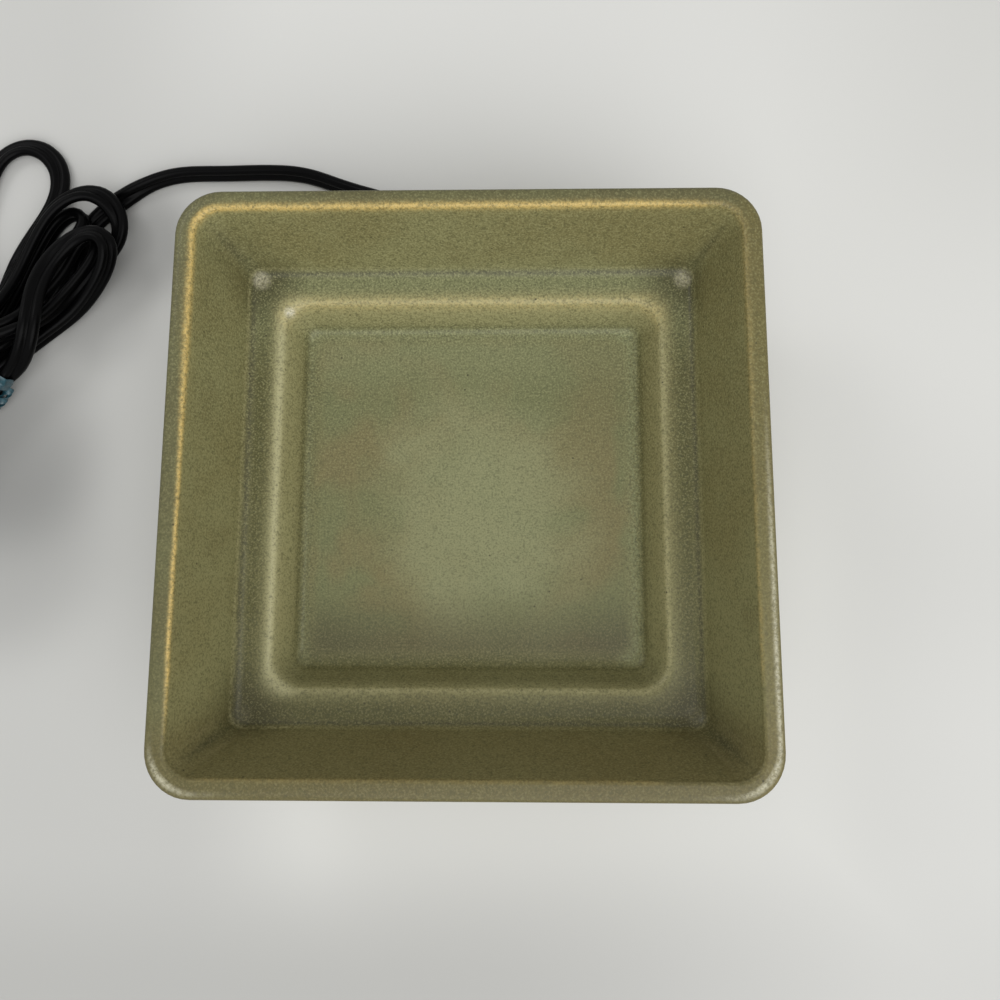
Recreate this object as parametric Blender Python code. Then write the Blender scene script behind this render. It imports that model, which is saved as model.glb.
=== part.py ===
"""A square electric wax warmer: a glazed dish that lifts off a heated ceramic base, and its mains lead.

Units are metres. +Z is up and +Y is the back, where the lead comes out. The origin is under the
middle of the base, on the surface that the feet stand on.
"""

import math

import bmesh
import bpy
import numpy as np
from mathutils import Matrix, Vector

MM = 0.001
SEAT = 0.3 * MM  # gap between two pieces that rest on each other
UP = Vector((0, 0, 1))

# Dish: a bowl with a ledge round a deeper square well
DISH_WIDTH = 153 * MM  # across the rim, before its edge is rounded
DISH_CORNER = 10.4 * MM  # plan radius of the rim's corners
LIP_WIDTH = 5.5 * MM  # outside edge of the rim to its inner edge
LIP_ROUND = 3.5 * MM
LIP_EDGE_ROUND = 1.2 * MM
LIP_CORNER = 6.5 * MM
BOWL_DEPTH = 24.7 * MM
BOWL_DRAFT = 9.5 * MM  # how far the bowl's wall leans in over its depth
BOWL_ROUND = 4 * MM
BOWL_CORNER = 4 * MM
LEDGE_WIDTH = 9 * MM
WELL_DEPTH = 9.3 * MM
WELL_DRAFT = 5.7 * MM
WELL_EDGE_ROUND = 2.6 * MM
WELL_CORNER = 7 * MM
FLOOR_ROUND = 3 * MM
FLOOR_CORNER = 3.5 * MM
DISH_WALL = 5.5 * MM
DISH_FLOOR = 4.8 * MM
DISH_FOOT_ROUND = 2.5 * MM

# Base: a ceramic housing with a deck across it
DISH_SIDE_CLEAR = 1.9 * MM  # dish's well to the mouth of the base
BASE_WALL = 6 * MM
BASE_FLARE = 5 * MM  # how far the base's wall leans out above its foot band
BASE_CORNER = 9 * MM
BASE_EDGE_ROUND = 1.5 * MM
BASE_FOOT_ROUND = 2 * MM
BASE_BEND_ROUND = 4 * MM
CAVITY_DEPTH = 9.6 * MM  # foot of the base up to the deck
CAVITY_CORNER = 4 * MM
DECK_THICK = 4 * MM
DECK_HOLE = 72 * MM  # diameter

# Heater: a plate clamped to the deck by a stud through its middle
PLATE_WIDTH = 92 * MM  # diameter
PLATE_THICK = 3 * MM
PLATE_ROUND = 0.8 * MM
GASKET_THICK = 1.4 * MM
GASKET_WIDTH = 7 * MM
ELEMENT_WIDTH = 66 * MM
ELEMENT_THICK = 1.6 * MM
INSULATION_WIDTH = 56 * MM
INSULATION_THICK = 3 * MM
STUD_WIDTH = 4 * MM
STUD_CLEAR = 0.4 * MM
BRACKET_WIDTH = 14 * MM
BRACKET_THICK = 1.2 * MM
BRACKET_BEARING = 8 * MM  # how far each end of the bracket reaches under the deck
BRACKET_BEND = 3 * MM  # run of the joggle at each end
WASHER_WIDTH = 9 * MM
WASHER_THICK = 0.8 * MM
NUT_FLATS = 7 * MM
NUT_THICK = 3 * MM
FUSE_WIDTH = 4 * MM
FUSE_LENGTH = 11 * MM
FUSE_NECK = 1.6 * MM
FUSE_PLACE = 24 * MM  # middle of the fuse from the stud
CLIP_THICK = 0.6 * MM
CLIP_LENGTH = 6 * MM
CLIP_EAR = 3 * MM
CRIMP_WIDTH = 4.6 * MM
CRIMP_LENGTH = 12 * MM
LEAD_WIDTH = 1.8 * MM
CORE_PITCH = 2.8 * MM  # between the two cores of the flat mains cord

# Underside
FOOT_WIDTH = 12 * MM
FOOT_HEIGHT = 2.5 * MM
FOOT_INSET = 12 * MM  # edge of the cover to the middle of a foot
FOOT_ROUND = 0.6 * MM
COVER_THICK = 1.2 * MM
COVER_OVERLAP = 3 * MM  # how far the cover reaches under the base's foot
COVER_CORNER = 6 * MM
VENT_WIDTH = 2.6 * MM
VENT_LENGTH = 18 * MM
VENT_PITCH = 7 * MM
VENT_PLACE = 26 * MM  # middle of each vent row from the stud
VENTS_IN_A_ROW = 5
COVER_NUT_THICK = 1.6 * MM

# Strain relief, where the lead leaves the base
OUTLET_X = -20 * MM
BUSHING_NECK = 6.8 * MM
BUSHING_FLANGE = 9.2 * MM
BUSHING_INNER_FLANGE = 8.6 * MM
BUSHING_FLANGE_THICK = 2 * MM
BUSHING_TAIL = 17 * MM
BUSHING_ROOT = 8 * MM
BUSHING_TIP = 6.4 * MM
BUSHING_RIBS = 4
BUSHING_GROOVE = 0.5 * MM

# Mains cord, flat twin, drawn as a round tube of its width
CORD_WIDTH = 5.6 * MM
CORD_PITCH = 12 * MM  # between the points of a free stretch
FLOOR_CLEAR = 0.1 * MM
CORD_LAID = CORD_WIDTH / 2 + FLOOR_CLEAR

# Hank: the spare cord folded in long loops, with a tie round its waist
HANK_MIDDLE = Vector((-159 * MM, 43 * MM, 0))
HANK_TURN = math.radians(55)  # of its length from +X
HANK_HALF_TURNS = 11
HANK_RUN = 48 * MM  # waist to the middle of the end folds
HANK_INNER = 8 * MM  # half width of the tightest loop
HANK_STEP = 6.4 * MM  # between neighbouring loops
HANK_LAYER = 6.15 * MM  # between layers
HANK_DRAW = 6.2 * MM  # how far the waist draws each run in
HANK_FOLD_STEPS = 8
TIE_WIDTH = 4 * MM
TIE_THICK = 0.9 * MM
TIE_CORNER = 3.4 * MM
TIE_TAIL = 12 * MM
TIE_TAIL_WIDTH = 3 * MM
TIE_TAIL_THICK = 1.8 * MM
TIE_TAIL_TURNS = 1.5
TIE_TAIL_TURN = -130  # degrees that the tail points round from the hank's length

# Inline switch with a thumbwheel
SWITCH_LENGTH = 62 * MM
SWITCH_WIDTH = 24 * MM
SWITCH_HEIGHT = 15 * MM
SWITCH_WALL = 1.8 * MM
SWITCH_CORNER = 8 * MM
SWITCH_ROUND = 3 * MM
SWITCH_PLACE = Vector((-11 * MM, 44 * MM, 0))  # along and across the hank
WHEEL_WIDTH = 20.4 * MM
WHEEL_THICK = 4.4 * MM
WHEEL_PROUD = 2.7 * MM
WHEEL_RIDGES = 18
WHEEL_RIDGE = 0.45 * MM
WHEEL_EDGE = 0.8 * MM
WHEEL_CLEAR = 0.4 * MM
AXLE_WIDTH = 3 * MM
AXLE_CLEAR = 0.1 * MM
CONTACT_THICK = 0.5 * MM
CONTACT_INSET = 2.4 * MM  # inside of the shell's end to a contact's root
CORE_WIDTH = 2.4 * MM
POST_WIDTH = 6 * MM
POST_X = 20 * MM
POST_Y = 6.6 * MM
SCREW_WIDTH = 2.5 * MM
SCREW_HEAD = 4.6 * MM
SCREW_HEAD_THICK = 1.5 * MM
SCREW_HEAD_SUNK = 0.6 * MM
SCREW_SLOT = 0.8 * MM
SCREW_CLEAR = 0.25 * MM
ENTRY_WIDTH = 6.4 * MM
ENTRY_HEIGHT = 3.6 * MM

# Two-pin plug
PLUG_PLACE = Vector((12 * MM, 72 * MM, 0))  # tail end, along and across the hank
PLUG_TAIL = 12 * MM
PLUG_BODY = 28 * MM
PLUG_WIDTH = 21 * MM
PLUG_HEIGHT = 13.6 * MM
PLUG_NECK_WIDTH = 9 * MM
PLUG_NECK_HEIGHT = 7 * MM
PLUG_TAIL_WIDTH = 7 * MM
PLUG_TAIL_HEIGHT = 5.6 * MM
BLADE_PITCH = 12.7 * MM
BLADE_THICK = 1.5 * MM
BLADE_WIDTH = 6.35 * MM
BLADE_WIDE = 7.9 * MM
BLADE_LENGTH = 17.5 * MM
BLADE_ROOT = 4 * MM  # how deep a blade sits in the body
BLADE_HOLE = 3.2 * MM
BLADE_HOLE_PLACE = 11.5 * MM
BLADE_CHAMFER = 1.2 * MM

# Levels, from the feet up
COVER_UNDER = FOOT_HEIGHT + SEAT
BASE_UNDER = COVER_UNDER + COVER_THICK + SEAT
DECK_UNDER = BASE_UNDER + CAVITY_DEPTH
DECK_TOP = DECK_UNDER + DECK_THICK
GASKET_UNDER = DECK_TOP + SEAT
PLATE_UNDER = GASKET_UNDER + GASKET_THICK + SEAT
WELL_UNDER = PLATE_UNDER + PLATE_THICK + SEAT
FLOOR_TOP = WELL_UNDER + DISH_FLOOR
LEDGE_TOP = FLOOR_TOP + WELL_DEPTH
LEDGE_UNDER = LEDGE_TOP - DISH_FLOOR
BASE_TOP = LEDGE_UNDER - SEAT
RIM_TOP = LEDGE_TOP + BOWL_DEPTH
ELEMENT_UNDER = PLATE_UNDER - SEAT - ELEMENT_THICK
INSULATION_UNDER = ELEMENT_UNDER - SEAT - INSULATION_THICK
BRACKET_RAISED = INSULATION_UNDER - SEAT - BRACKET_THICK
BRACKET_UNDER = DECK_UNDER - SEAT - BRACKET_THICK
WASHER_UNDER = BRACKET_RAISED - SEAT - WASHER_THICK
NUT_UNDER = WASHER_UNDER - SEAT - NUT_THICK
FUSE_LEVEL = BRACKET_RAISED - SEAT - FUSE_WIDTH / 2
OUTLET_LEVEL = BASE_UNDER + CAVITY_DEPTH / 2
CRIMP_LEVEL = OUTLET_LEVEL

# Half widths of the square sections
RIM_HALF = DISH_WIDTH / 2
LIP_HALF = RIM_HALF - LIP_WIDTH
BOWL_HALF = LIP_HALF - BOWL_DRAFT
WELL_HALF = BOWL_HALF - LEDGE_WIDTH
FLOOR_HALF = WELL_HALF - WELL_DRAFT
DISH_SEAT_HALF = BOWL_HALF + DISH_WALL
WELL_OUT_HALF = WELL_HALF + DISH_FLOOR
WELL_FOOT_HALF = FLOOR_HALF + DISH_FLOOR
MOUTH_HALF = WELL_OUT_HALF + DISH_SIDE_CLEAR
BASE_TOP_HALF = MOUTH_HALF + BASE_WALL
BASE_HALF = BASE_TOP_HALF - BASE_FLARE
CAVITY_HALF = BASE_HALF - BASE_WALL
COVER_HALF = CAVITY_HALF + COVER_OVERLAP

MATERIALS = {
    "glaze": ((0.185, 0.175, 0.09), 0.42, 0.0),
    "aluminium": ((0.78, 0.78, 0.77), 0.35, 1.0),
    "steel": ((0.60, 0.60, 0.60), 0.35, 1.0),
    "brass": ((0.78, 0.62, 0.30), 0.30, 1.0),
    "fibre": ((0.75, 0.72, 0.64), 0.90, 0.0),
    "mica": ((0.55, 0.45, 0.30), 0.50, 0.0),
    "cover": ((0.03, 0.03, 0.03), 0.55, 0.0),
    "foot": ((0.02, 0.02, 0.02), 0.85, 0.0),
    "lead": ((0.80, 0.80, 0.78), 0.50, 0.0),
    "fuse": ((0.82, 0.80, 0.74), 0.45, 0.0),
    "nylon": ((0.62, 0.55, 0.40), 0.50, 0.0),
    "cord": ((0.004, 0.004, 0.004), 0.38, 0.0),
    "tie": ((0.05, 0.26, 0.33), 0.45, 0.0),
    "switch": ((0.008, 0.008, 0.008), 0.42, 0.0),
}


def clear_scene():
    for old in list(bpy.context.scene.objects):
        bpy.data.objects.remove(old, do_unlink=True)


def material(name):
    """The named finish, made once."""
    found = bpy.data.materials.get(name)
    if found:
        return found
    colour, roughness, metallic = MATERIALS[name]
    made = bpy.data.materials.new(name)
    made.use_nodes = True
    shader = made.node_tree.nodes["Principled BSDF"]
    shader.inputs["Base Color"].default_value = (*colour, 1)
    shader.inputs["Roughness"].default_value = roughness
    shader.inputs["Metallic"].default_value = metallic
    made.diffuse_color = (*colour, 1)
    return made


def add_object(name, data, finish, place=None):
    """Links a new object, with its finish, at a place given as a matrix."""
    made = bpy.data.objects.new(name, data)
    bpy.context.scene.collection.objects.link(made)
    data.materials.append(material(finish))
    if place is not None:
        made.matrix_world = place
    return made


def add_mesh(name, bm, finish, place=None):
    mesh = bpy.data.meshes.new(name)
    bm.to_mesh(mesh)
    bm.free()
    mesh.shade_smooth()
    mesh.set_sharp_from_angle(angle=math.radians(35))
    return add_object(name, mesh, finish, place)


def at(x=0.0, y=0.0, z=0.0):
    return Matrix.Translation((x, y, z))


def circle(radius, z, steps=32):
    """A ring of points round Z, seen from above running anticlockwise."""
    turns = [2 * math.pi * k / steps for k in range(steps)]
    return [Vector((radius * math.cos(t), radius * math.sin(t), z)) for t in turns]


def rounded_rectangle(half_x, half_y, corner, z, steps=5):
    """A ring of points round a rectangle with round corners, anticlockwise from above."""
    corner = min(corner, half_x * 0.999, half_y * 0.999)
    ring = []
    for quarter in range(4):
        sign_x = 1 if quarter in (0, 3) else -1
        sign_y = 1 if quarter in (0, 1) else -1
        for k in range(steps + 1):
            turn = math.pi / 2 * (quarter + k / steps)
            x = sign_x * (half_x - corner) + corner * math.cos(turn)
            y = sign_y * (half_y - corner) + corner * math.sin(turn)
            ring.append(Vector((x, y, z)))
    return ring


def rounded_profile(corners, steps=4):
    """The points of an outline (across, up) whose corners are rounded by their third value.

    The first and last corners only give the outline its direction there and are left out. Each
    point carries its corner's remaining values.
    """
    points = []
    for before, here, after in zip(corners, corners[1:], corners[2:]):
        middle = Vector(here[:2])
        back = Vector(before[:2]) - middle
        ahead = Vector(after[:2]) - middle
        radius = here[2]
        if radius <= 0:
            points.append((*here[:2], *here[3:]))
            continue
        opening = back.angle(ahead)
        reach = min(radius / math.tan(opening / 2), 0.48 * min(back.length, ahead.length))
        start = middle + back.normalized() * reach
        end = middle + ahead.normalized() * reach
        for k in range(steps + 1):
            share = k / steps
            point = (1 - share) ** 2 * start + 2 * share * (1 - share) * middle + share**2 * end
            points.append((point.x, point.y, *here[3:]))
    return points


def loft(rings, closed=False):
    """A solid through rings that run from its underside out, up and in again.

    A closed loft joins the last ring to the first. An open one is capped at both ends.
    """
    bm = bmesh.new()
    made = [[bm.verts.new(point) for point in ring] for ring in rings]
    pairs = list(zip(made, made[1:]))
    if closed:
        pairs.append((made[-1], made[0]))
    for lower, upper in pairs:
        count = len(lower)
        for k in range(count):
            after = (k + 1) % count
            bm.faces.new((lower[k], lower[after], upper[after], upper[k]))
    if not closed:
        bm.faces.new(list(reversed(made[0])))
        bm.faces.new(made[-1])
    return bm


def square_solid(corners, steps=5):
    """A square vessel or plate: corners are (half width, level, rounding, plan corner)."""
    rings = [rounded_rectangle(h, h, c, z, steps) for h, z, c in rounded_profile(corners)]
    return loft(rings)


def turned_solid(corners, steps=32, arc=3):
    """A solid of revolution about Z: corners are (radius, level, rounding)."""
    return loft([circle(r, z, steps) for r, z in rounded_profile(corners, arc)])


def disc(radius, under, top, rounding=0.0, steps=32):
    corners = [(0, under), (radius, under, rounding), (radius, top, rounding), (0, top)]
    return turned_solid(corners, steps, 1)


def washer(outer, inner, under, top, steps=32):
    """A flat ring with a round hole."""
    outline = [(inner, under), (outer, under), (outer, top), (inner, top)]
    return loft([circle(r, z, steps) for r, z in outline], closed=True)


def prism(outline, under, top):
    """A straight solid over an anticlockwise outline of (x, y) points."""
    return loft([[Vector((x, y, z)) for x, y in outline] for z in (under, top)])


def box(low, high):
    (x0, y0, z0), (x1, y1, z1) = low, high
    return prism([(x0, y0), (x1, y0), (x1, y1), (x0, y1)], z0, z1)


def cutter(name, bm, place=None):
    """A hidden solid that shapes another."""
    made = add_mesh(name, bm, "steel", place)
    made.hide_render = True
    made.display_type = "WIRE"
    return made


def combine(target, tool, operation="DIFFERENCE"):
    modifier = target.modifiers.new(f"{operation.lower()}_{tool.name}", "BOOLEAN")
    modifier.operation = operation
    modifier.solver = "EXACT"
    modifier.object = tool


def smooth_curve(points, pitch):
    """Points about a pitch apart on a smooth curve through the given points."""
    places = [Vector(p) for p in points]
    padded = [2 * places[0] - places[1], *places, 2 * places[-1] - places[-2]]
    fine = []
    for a, b, c, d in zip(padded, padded[1:], padded[2:], padded[3:]):
        knots = [0.0]
        for start, end in ((a, b), (b, c), (c, d)):
            knots.append(knots[-1] + math.sqrt((end - start).length))
        for k in range(20):
            t = knots[1] + (knots[2] - knots[1]) * k / 20
            first = [
                (p * (knots[i + 1] - t) + q * (t - knots[i])) / (knots[i + 1] - knots[i])
                for i, (p, q) in enumerate(((a, b), (b, c), (c, d)))
            ]
            second = [
                (first[i] * (knots[i + 2] - t) + first[i + 1] * (t - knots[i])) / (knots[i + 2] - knots[i])
                for i in range(2)
            ]
            fine.append((second[0] * (knots[2] - t) + second[1] * (t - knots[1])) / (knots[2] - knots[1]))
    fine.append(places[-1])
    lengths = np.concatenate([[0], np.cumsum([(q - p).length for p, q in zip(fine, fine[1:])])])
    count = max(2, round(lengths[-1] / pitch))
    wanted = np.linspace(0, lengths[-1], count + 1)
    columns = [np.interp(wanted, lengths, [p[axis] for p in fine]) for axis in range(3)]
    return [Vector(p) for p in zip(*columns)]


def tube(name, points, width, finish, resolution=2):
    """A round cord or lead along points, with filled ends."""
    data = bpy.data.curves.new(name, "CURVE")
    data.dimensions = "3D"
    data.bevel_depth = width / 2
    data.bevel_resolution = resolution
    data.use_fill_caps = True
    spline = data.splines.new("POLY")
    spline.points.add(len(points) - 1)
    for made, point in zip(spline.points, points):
        made.co = (*point, 1)
    return add_object(name, data, finish)


def cord_stretch(name, start, start_way, points, end, end_way):
    """A free stretch of mains cord that leaves and arrives straight for one width."""
    leaves = start + start_way * (SEAT + CORD_WIDTH)
    arrives = end - end_way * (SEAT + CORD_WIDTH)
    middle = smooth_curve([leaves, *points, arrives], CORD_PITCH)
    line = [start + start_way * SEAT, *middle, end - end_way * SEAT]
    tube(name, line, CORD_WIDTH, "cord")
    return sum((q - p).length for p, q in zip(line, line[1:]))


def make_dish():
    corners = [
        (0, WELL_UNDER),
        (WELL_FOOT_HALF, WELL_UNDER, DISH_FOOT_ROUND, FLOOR_CORNER + DISH_FLOOR / 2),
        (WELL_OUT_HALF, LEDGE_UNDER, DISH_FOOT_ROUND, WELL_CORNER + DISH_FLOOR / 2),
        (DISH_SEAT_HALF, LEDGE_UNDER, DISH_FOOT_ROUND, BOWL_CORNER + DISH_WALL),
        (RIM_HALF, RIM_TOP, LIP_ROUND, DISH_CORNER),
        (LIP_HALF, RIM_TOP, LIP_EDGE_ROUND, LIP_CORNER),
        (BOWL_HALF, LEDGE_TOP, BOWL_ROUND, BOWL_CORNER),
        (WELL_HALF, LEDGE_TOP, WELL_EDGE_ROUND, WELL_CORNER),
        (FLOOR_HALF, FLOOR_TOP, FLOOR_ROUND, FLOOR_CORNER),
        (0, FLOOR_TOP),
    ]
    local = [(c[0], c[1] - LEDGE_UNDER, *c[2:]) for c in corners]
    add_mesh("dish", square_solid(local), "glaze", at(z=LEDGE_UNDER))


def make_base():
    deck_half = CAVITY_HALF + BASE_EDGE_ROUND
    corners = [
        (0, DECK_UNDER),
        (CAVITY_HALF, DECK_UNDER, BASE_EDGE_ROUND, CAVITY_CORNER),
        (CAVITY_HALF, BASE_UNDER, 0, CAVITY_CORNER),
        (BASE_HALF, BASE_UNDER, BASE_FOOT_ROUND, BASE_CORNER),
        (BASE_HALF, DECK_TOP, BASE_BEND_ROUND, BASE_CORNER),
        (BASE_TOP_HALF, BASE_TOP, BASE_EDGE_ROUND, BASE_CORNER),
        (MOUTH_HALF, BASE_TOP, BASE_EDGE_ROUND, CAVITY_CORNER),
        (deck_half, DECK_TOP, BASE_FOOT_ROUND, CAVITY_CORNER),
        (0, DECK_TOP),
    ]
    base = add_mesh("base_housing", square_solid(corners), "glaze")
    hole = disc(DECK_HOLE / 2, DECK_UNDER - BASE_WALL, DECK_TOP + BASE_WALL, steps=40)
    combine(base, cutter("deck_hole_cutter", hole))
    outlet = disc(BUSHING_NECK / 2 + SEAT, -BASE_WALL, 2 * BASE_WALL, steps=24)
    wall = at(OUTLET_X, CAVITY_HALF, OUTLET_LEVEL) @ Matrix.Rotation(-math.pi / 2, 4, "X")
    combine(base, cutter("outlet_cutter", outlet, wall))


def make_heater():
    plate_top = PLATE_UNDER + PLATE_THICK
    add_mesh("hot_plate", disc(PLATE_WIDTH / 2, PLATE_UNDER, plate_top, PLATE_ROUND, 32), "aluminium")
    ring_outer = PLATE_WIDTH / 2 - PLATE_ROUND
    gasket = washer(ring_outer, ring_outer - GASKET_WIDTH, GASKET_UNDER, GASKET_UNDER + GASKET_THICK, 32)
    add_mesh("plate_gasket", gasket, "fibre")
    stud_hole = STUD_WIDTH / 2 + STUD_CLEAR
    element_top = ELEMENT_UNDER + ELEMENT_THICK
    element = washer(ELEMENT_WIDTH / 2, stud_hole, ELEMENT_UNDER, element_top, 28)
    add_mesh("heating_element", element, "mica")
    insulation_top = INSULATION_UNDER + INSULATION_THICK
    insulation = washer(INSULATION_WIDTH / 2, stud_hole, INSULATION_UNDER, insulation_top, 28)
    add_mesh("insulation_disc", insulation, "fibre")
    make_bracket(stud_hole)
    stud_foot = COVER_UNDER - SEAT - COVER_NUT_THICK
    add_mesh("clamp_stud", disc(STUD_WIDTH / 2, stud_foot, PLATE_UNDER - SEAT, steps=16), "steel")
    bracket_washer = washer(WASHER_WIDTH / 2, stud_hole, WASHER_UNDER, WASHER_UNDER + WASHER_THICK, 24)
    add_mesh("bracket_washer", bracket_washer, "steel")
    add_mesh("bracket_nut", hex_nut(NUT_UNDER, NUT_THICK), "steel")
    cover_nut = hex_nut(COVER_UNDER - SEAT - COVER_NUT_THICK, COVER_NUT_THICK)
    add_mesh("cover_nut", cover_nut, "steel")


def hex_nut(under, thick):
    """A six-sided nut round the stud."""
    corner = NUT_FLATS / 2 / math.cos(math.pi / 6)
    bore = STUD_WIDTH / 2 + SEAT
    sides = 24
    rings = []
    for inner, z in ((True, under), (False, under), (False, under + thick), (True, under + thick)):
        ring = []
        for k in range(sides):
            turn = 2 * math.pi * k / sides
            off_flat = (turn + math.pi / 6) % (math.pi / 3) - math.pi / 6
            outside = corner * math.cos(math.pi / 6) / math.cos(off_flat)
            radius = bore if inner else outside
            ring.append(Vector((radius * math.cos(turn), radius * math.sin(turn), z)))
        rings.append(ring)
    return loft(rings, closed=True)


def make_bracket(stud_hole):
    """A strap under the deck hole, raised in the middle to press the heater stack up."""
    end = DECK_HOLE / 2 + BRACKET_BEARING
    bend_out = DECK_HOLE / 2 - SEAT
    bend_in = bend_out - BRACKET_BEND
    under = [(-end, BRACKET_UNDER), (-bend_out, BRACKET_UNDER), (-bend_in, BRACKET_RAISED)]
    under += [(bend_in, BRACKET_RAISED), (bend_out, BRACKET_UNDER), (end, BRACKET_UNDER)]
    outline = under + [(x, z + BRACKET_THICK) for x, z in reversed(under)]
    strap = prism(outline, -BRACKET_WIDTH / 2, BRACKET_WIDTH / 2)
    bracket = add_mesh("clamp_bracket", strap, "steel", Matrix.Rotation(math.pi / 2, 4, "X"))
    bore = disc(stud_hole, BRACKET_RAISED - BRACKET_THICK, BRACKET_RAISED + 2 * BRACKET_THICK, steps=20)
    combine(bracket, cutter("bracket_bore_cutter", bore))


def make_fuse():
    """Thermal fuse under the bracket, in a sheet clip."""
    half = FUSE_LENGTH / 2
    corners = [
        (0, -half),
        (FUSE_NECK / 2, -half, 0),
        (FUSE_NECK / 2, -half + FUSE_NECK, 0),
        (FUSE_WIDTH / 2, -half + FUSE_NECK, 0),
        (FUSE_WIDTH / 2, half - FUSE_NECK, 0),
        (FUSE_NECK / 2, half - FUSE_NECK, 0),
        (FUSE_NECK / 2, half, 0),
        (0, half),
    ]
    lying = at(FUSE_PLACE, 0, FUSE_LEVEL) @ Matrix.Rotation(math.pi / 2, 4, "Y")
    add_mesh("thermal_fuse", turned_solid(corners, 16), "fuse", lying)
    top = BRACKET_RAISED - SEAT
    inside = FUSE_WIDTH / 2 + SEAT
    outside = inside + CLIP_THICK
    ear = outside + CLIP_EAR
    sole = FUSE_LEVEL - outside
    outline = [(-ear, top), (-ear, top - CLIP_THICK), (-outside, top - CLIP_THICK), (-outside, sole)]
    outline += [(outside, sole), (outside, top - CLIP_THICK), (ear, top - CLIP_THICK), (ear, top)]
    outline += [(inside, top), (inside, sole + CLIP_THICK), (-inside, sole + CLIP_THICK), (-inside, top)]
    clip = prism(outline, -CLIP_LENGTH / 2, CLIP_LENGTH / 2)
    standing = Matrix(((0, 0, 1, FUSE_PLACE), (1, 0, 0, 0), (0, 1, 0, 0), (0, 0, 0, 1)))
    add_mesh("fuse_clip", clip, "steel", standing)


def make_wiring():
    """Crimped joints and inner leads, from the strain relief to the fuse and the heater."""
    crimp_y = CAVITY_HALF - 20 * MM
    crimp_x = {"live": OUTLET_X + 11 * MM, "neutral": OUTLET_X - 11 * MM}
    for line, x in crimp_x.items():
        barrel = disc(CRIMP_WIDTH / 2, -CRIMP_LENGTH / 2, CRIMP_LENGTH / 2, 0.6 * MM, 16)
        lying = at(x, crimp_y, CRIMP_LEVEL) @ Matrix.Rotation(math.pi / 2, 4, "X")
        add_mesh(f"crimp_{line}", barrel, "nylon", lying)
    far = crimp_y + CRIMP_LENGTH / 2 + SEAT
    near = crimp_y - CRIMP_LENGTH / 2 - SEAT
    flange = CAVITY_HALF - SEAT - BUSHING_FLANGE_THICK - SEAT
    level = CRIMP_LEVEL
    step = 2.5 * MM
    for line, side in (("live", 1), ("neutral", -1)):
        start = Vector((OUTLET_X + side * CORE_PITCH / 2, flange, OUTLET_LEVEL))
        x = crimp_x[line]
        bend = Vector(((start.x + x) / 2, (flange + far) / 2, level))
        points = [start, start - Vector((0, step, 0)), bend]
        points += [Vector((x, far + step, level)), Vector((x, far, level))]
        tube(f"mains_lead_{line}", smooth_curve(points, step), LEAD_WIDTH, "lead")
    fuse_end = FUSE_PLACE - FUSE_LENGTH / 2 - SEAT
    live = crimp_x["live"]
    points = [
        (live, near, level),
        (live, near - step, level),
        (live + (fuse_end - live) / 4, near * 0.6, level),
        (fuse_end - 1.5 * NUT_FLATS, near * 0.26, level),
        (fuse_end - step, 0, FUSE_LEVEL),
        (fuse_end, 0, FUSE_LEVEL),
    ]
    tube("fuse_lead", smooth_curve(points, 2 * step), LEAD_WIDTH, "lead")
    terminal = (ELEMENT_WIDTH + INSULATION_WIDTH) / 4
    terminal_level = ELEMENT_UNDER - SEAT
    slant = terminal / math.sqrt(2)
    fuse_far = FUSE_PLACE + FUSE_LENGTH / 2 + SEAT
    points = [
        (fuse_far, 0, FUSE_LEVEL),
        (fuse_far + step, -0.2 * step, FUSE_LEVEL),
        (fuse_far + 2.4 * step, -step, FUSE_LEVEL - 0.4 * step),
        (fuse_far + 2 * step, -4.5 * step, level),
        (slant + 1.6 * step, -slant - 0.8 * step, level),
        (slant, -slant, level + 1.4 * step),
        (slant, -slant, terminal_level - step),
        (slant, -slant, terminal_level),
    ]
    tube("heater_lead_live", smooth_curve(points, 2 * step), LEAD_WIDTH, "lead")
    neutral = crimp_x["neutral"]
    points = [
        (neutral, near, level),
        (neutral, near - step, level),
        (neutral + 0.4 * step, near - 2.6 * step, level),
        ((neutral - slant) / 2, slant + 0.4 * step, level + 0.6 * step),
        (-slant, slant, terminal_level - 2 * step),
        (-slant, slant, terminal_level - step),
        (-slant, slant, terminal_level),
    ]
    tube("heater_lead_neutral", smooth_curve(points, step), LEAD_WIDTH, "lead")


def make_underside():
    corners = [
        (0, COVER_UNDER),
        (COVER_HALF, COVER_UNDER, 0, COVER_CORNER),
        (COVER_HALF, COVER_UNDER + COVER_THICK, 0, COVER_CORNER),
        (0, COVER_UNDER + COVER_THICK),
    ]
    cover = add_mesh("bottom_cover", square_solid(corners), "cover")
    low = COVER_UNDER - COVER_THICK
    high = COVER_UNDER + 2 * COVER_THICK
    combine(cover, cutter("cover_bore_cutter", disc(STUD_WIDTH / 2 + STUD_CLEAR, low, high, steps=20)))
    for side in (-1, 1):
        for k in range(VENTS_IN_A_ROW):
            x = (k - (VENTS_IN_A_ROW - 1) / 2) * VENT_PITCH
            slot = rounded_rectangle(VENT_WIDTH / 2, VENT_LENGTH / 2, VENT_WIDTH / 2, 0, 2)
            slot_solid = loft([[p + UP * z for p in slot] for z in (low, high)])
            name = f"vent_cutter_{'front' if side < 0 else 'back'}_{k}"
            combine(cover, cutter(name, slot_solid, at(x, side * VENT_PLACE)))
    place = COVER_HALF - FOOT_INSET
    for across, x in (("left", -place), ("right", place)):
        for depth, y in (("front", -place), ("back", place)):
            foot = disc(FOOT_WIDTH / 2, 0, FOOT_HEIGHT, FOOT_ROUND, 20)
            add_mesh(f"foot_{depth}_{across}", foot, "foot", at(x, y))


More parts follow.
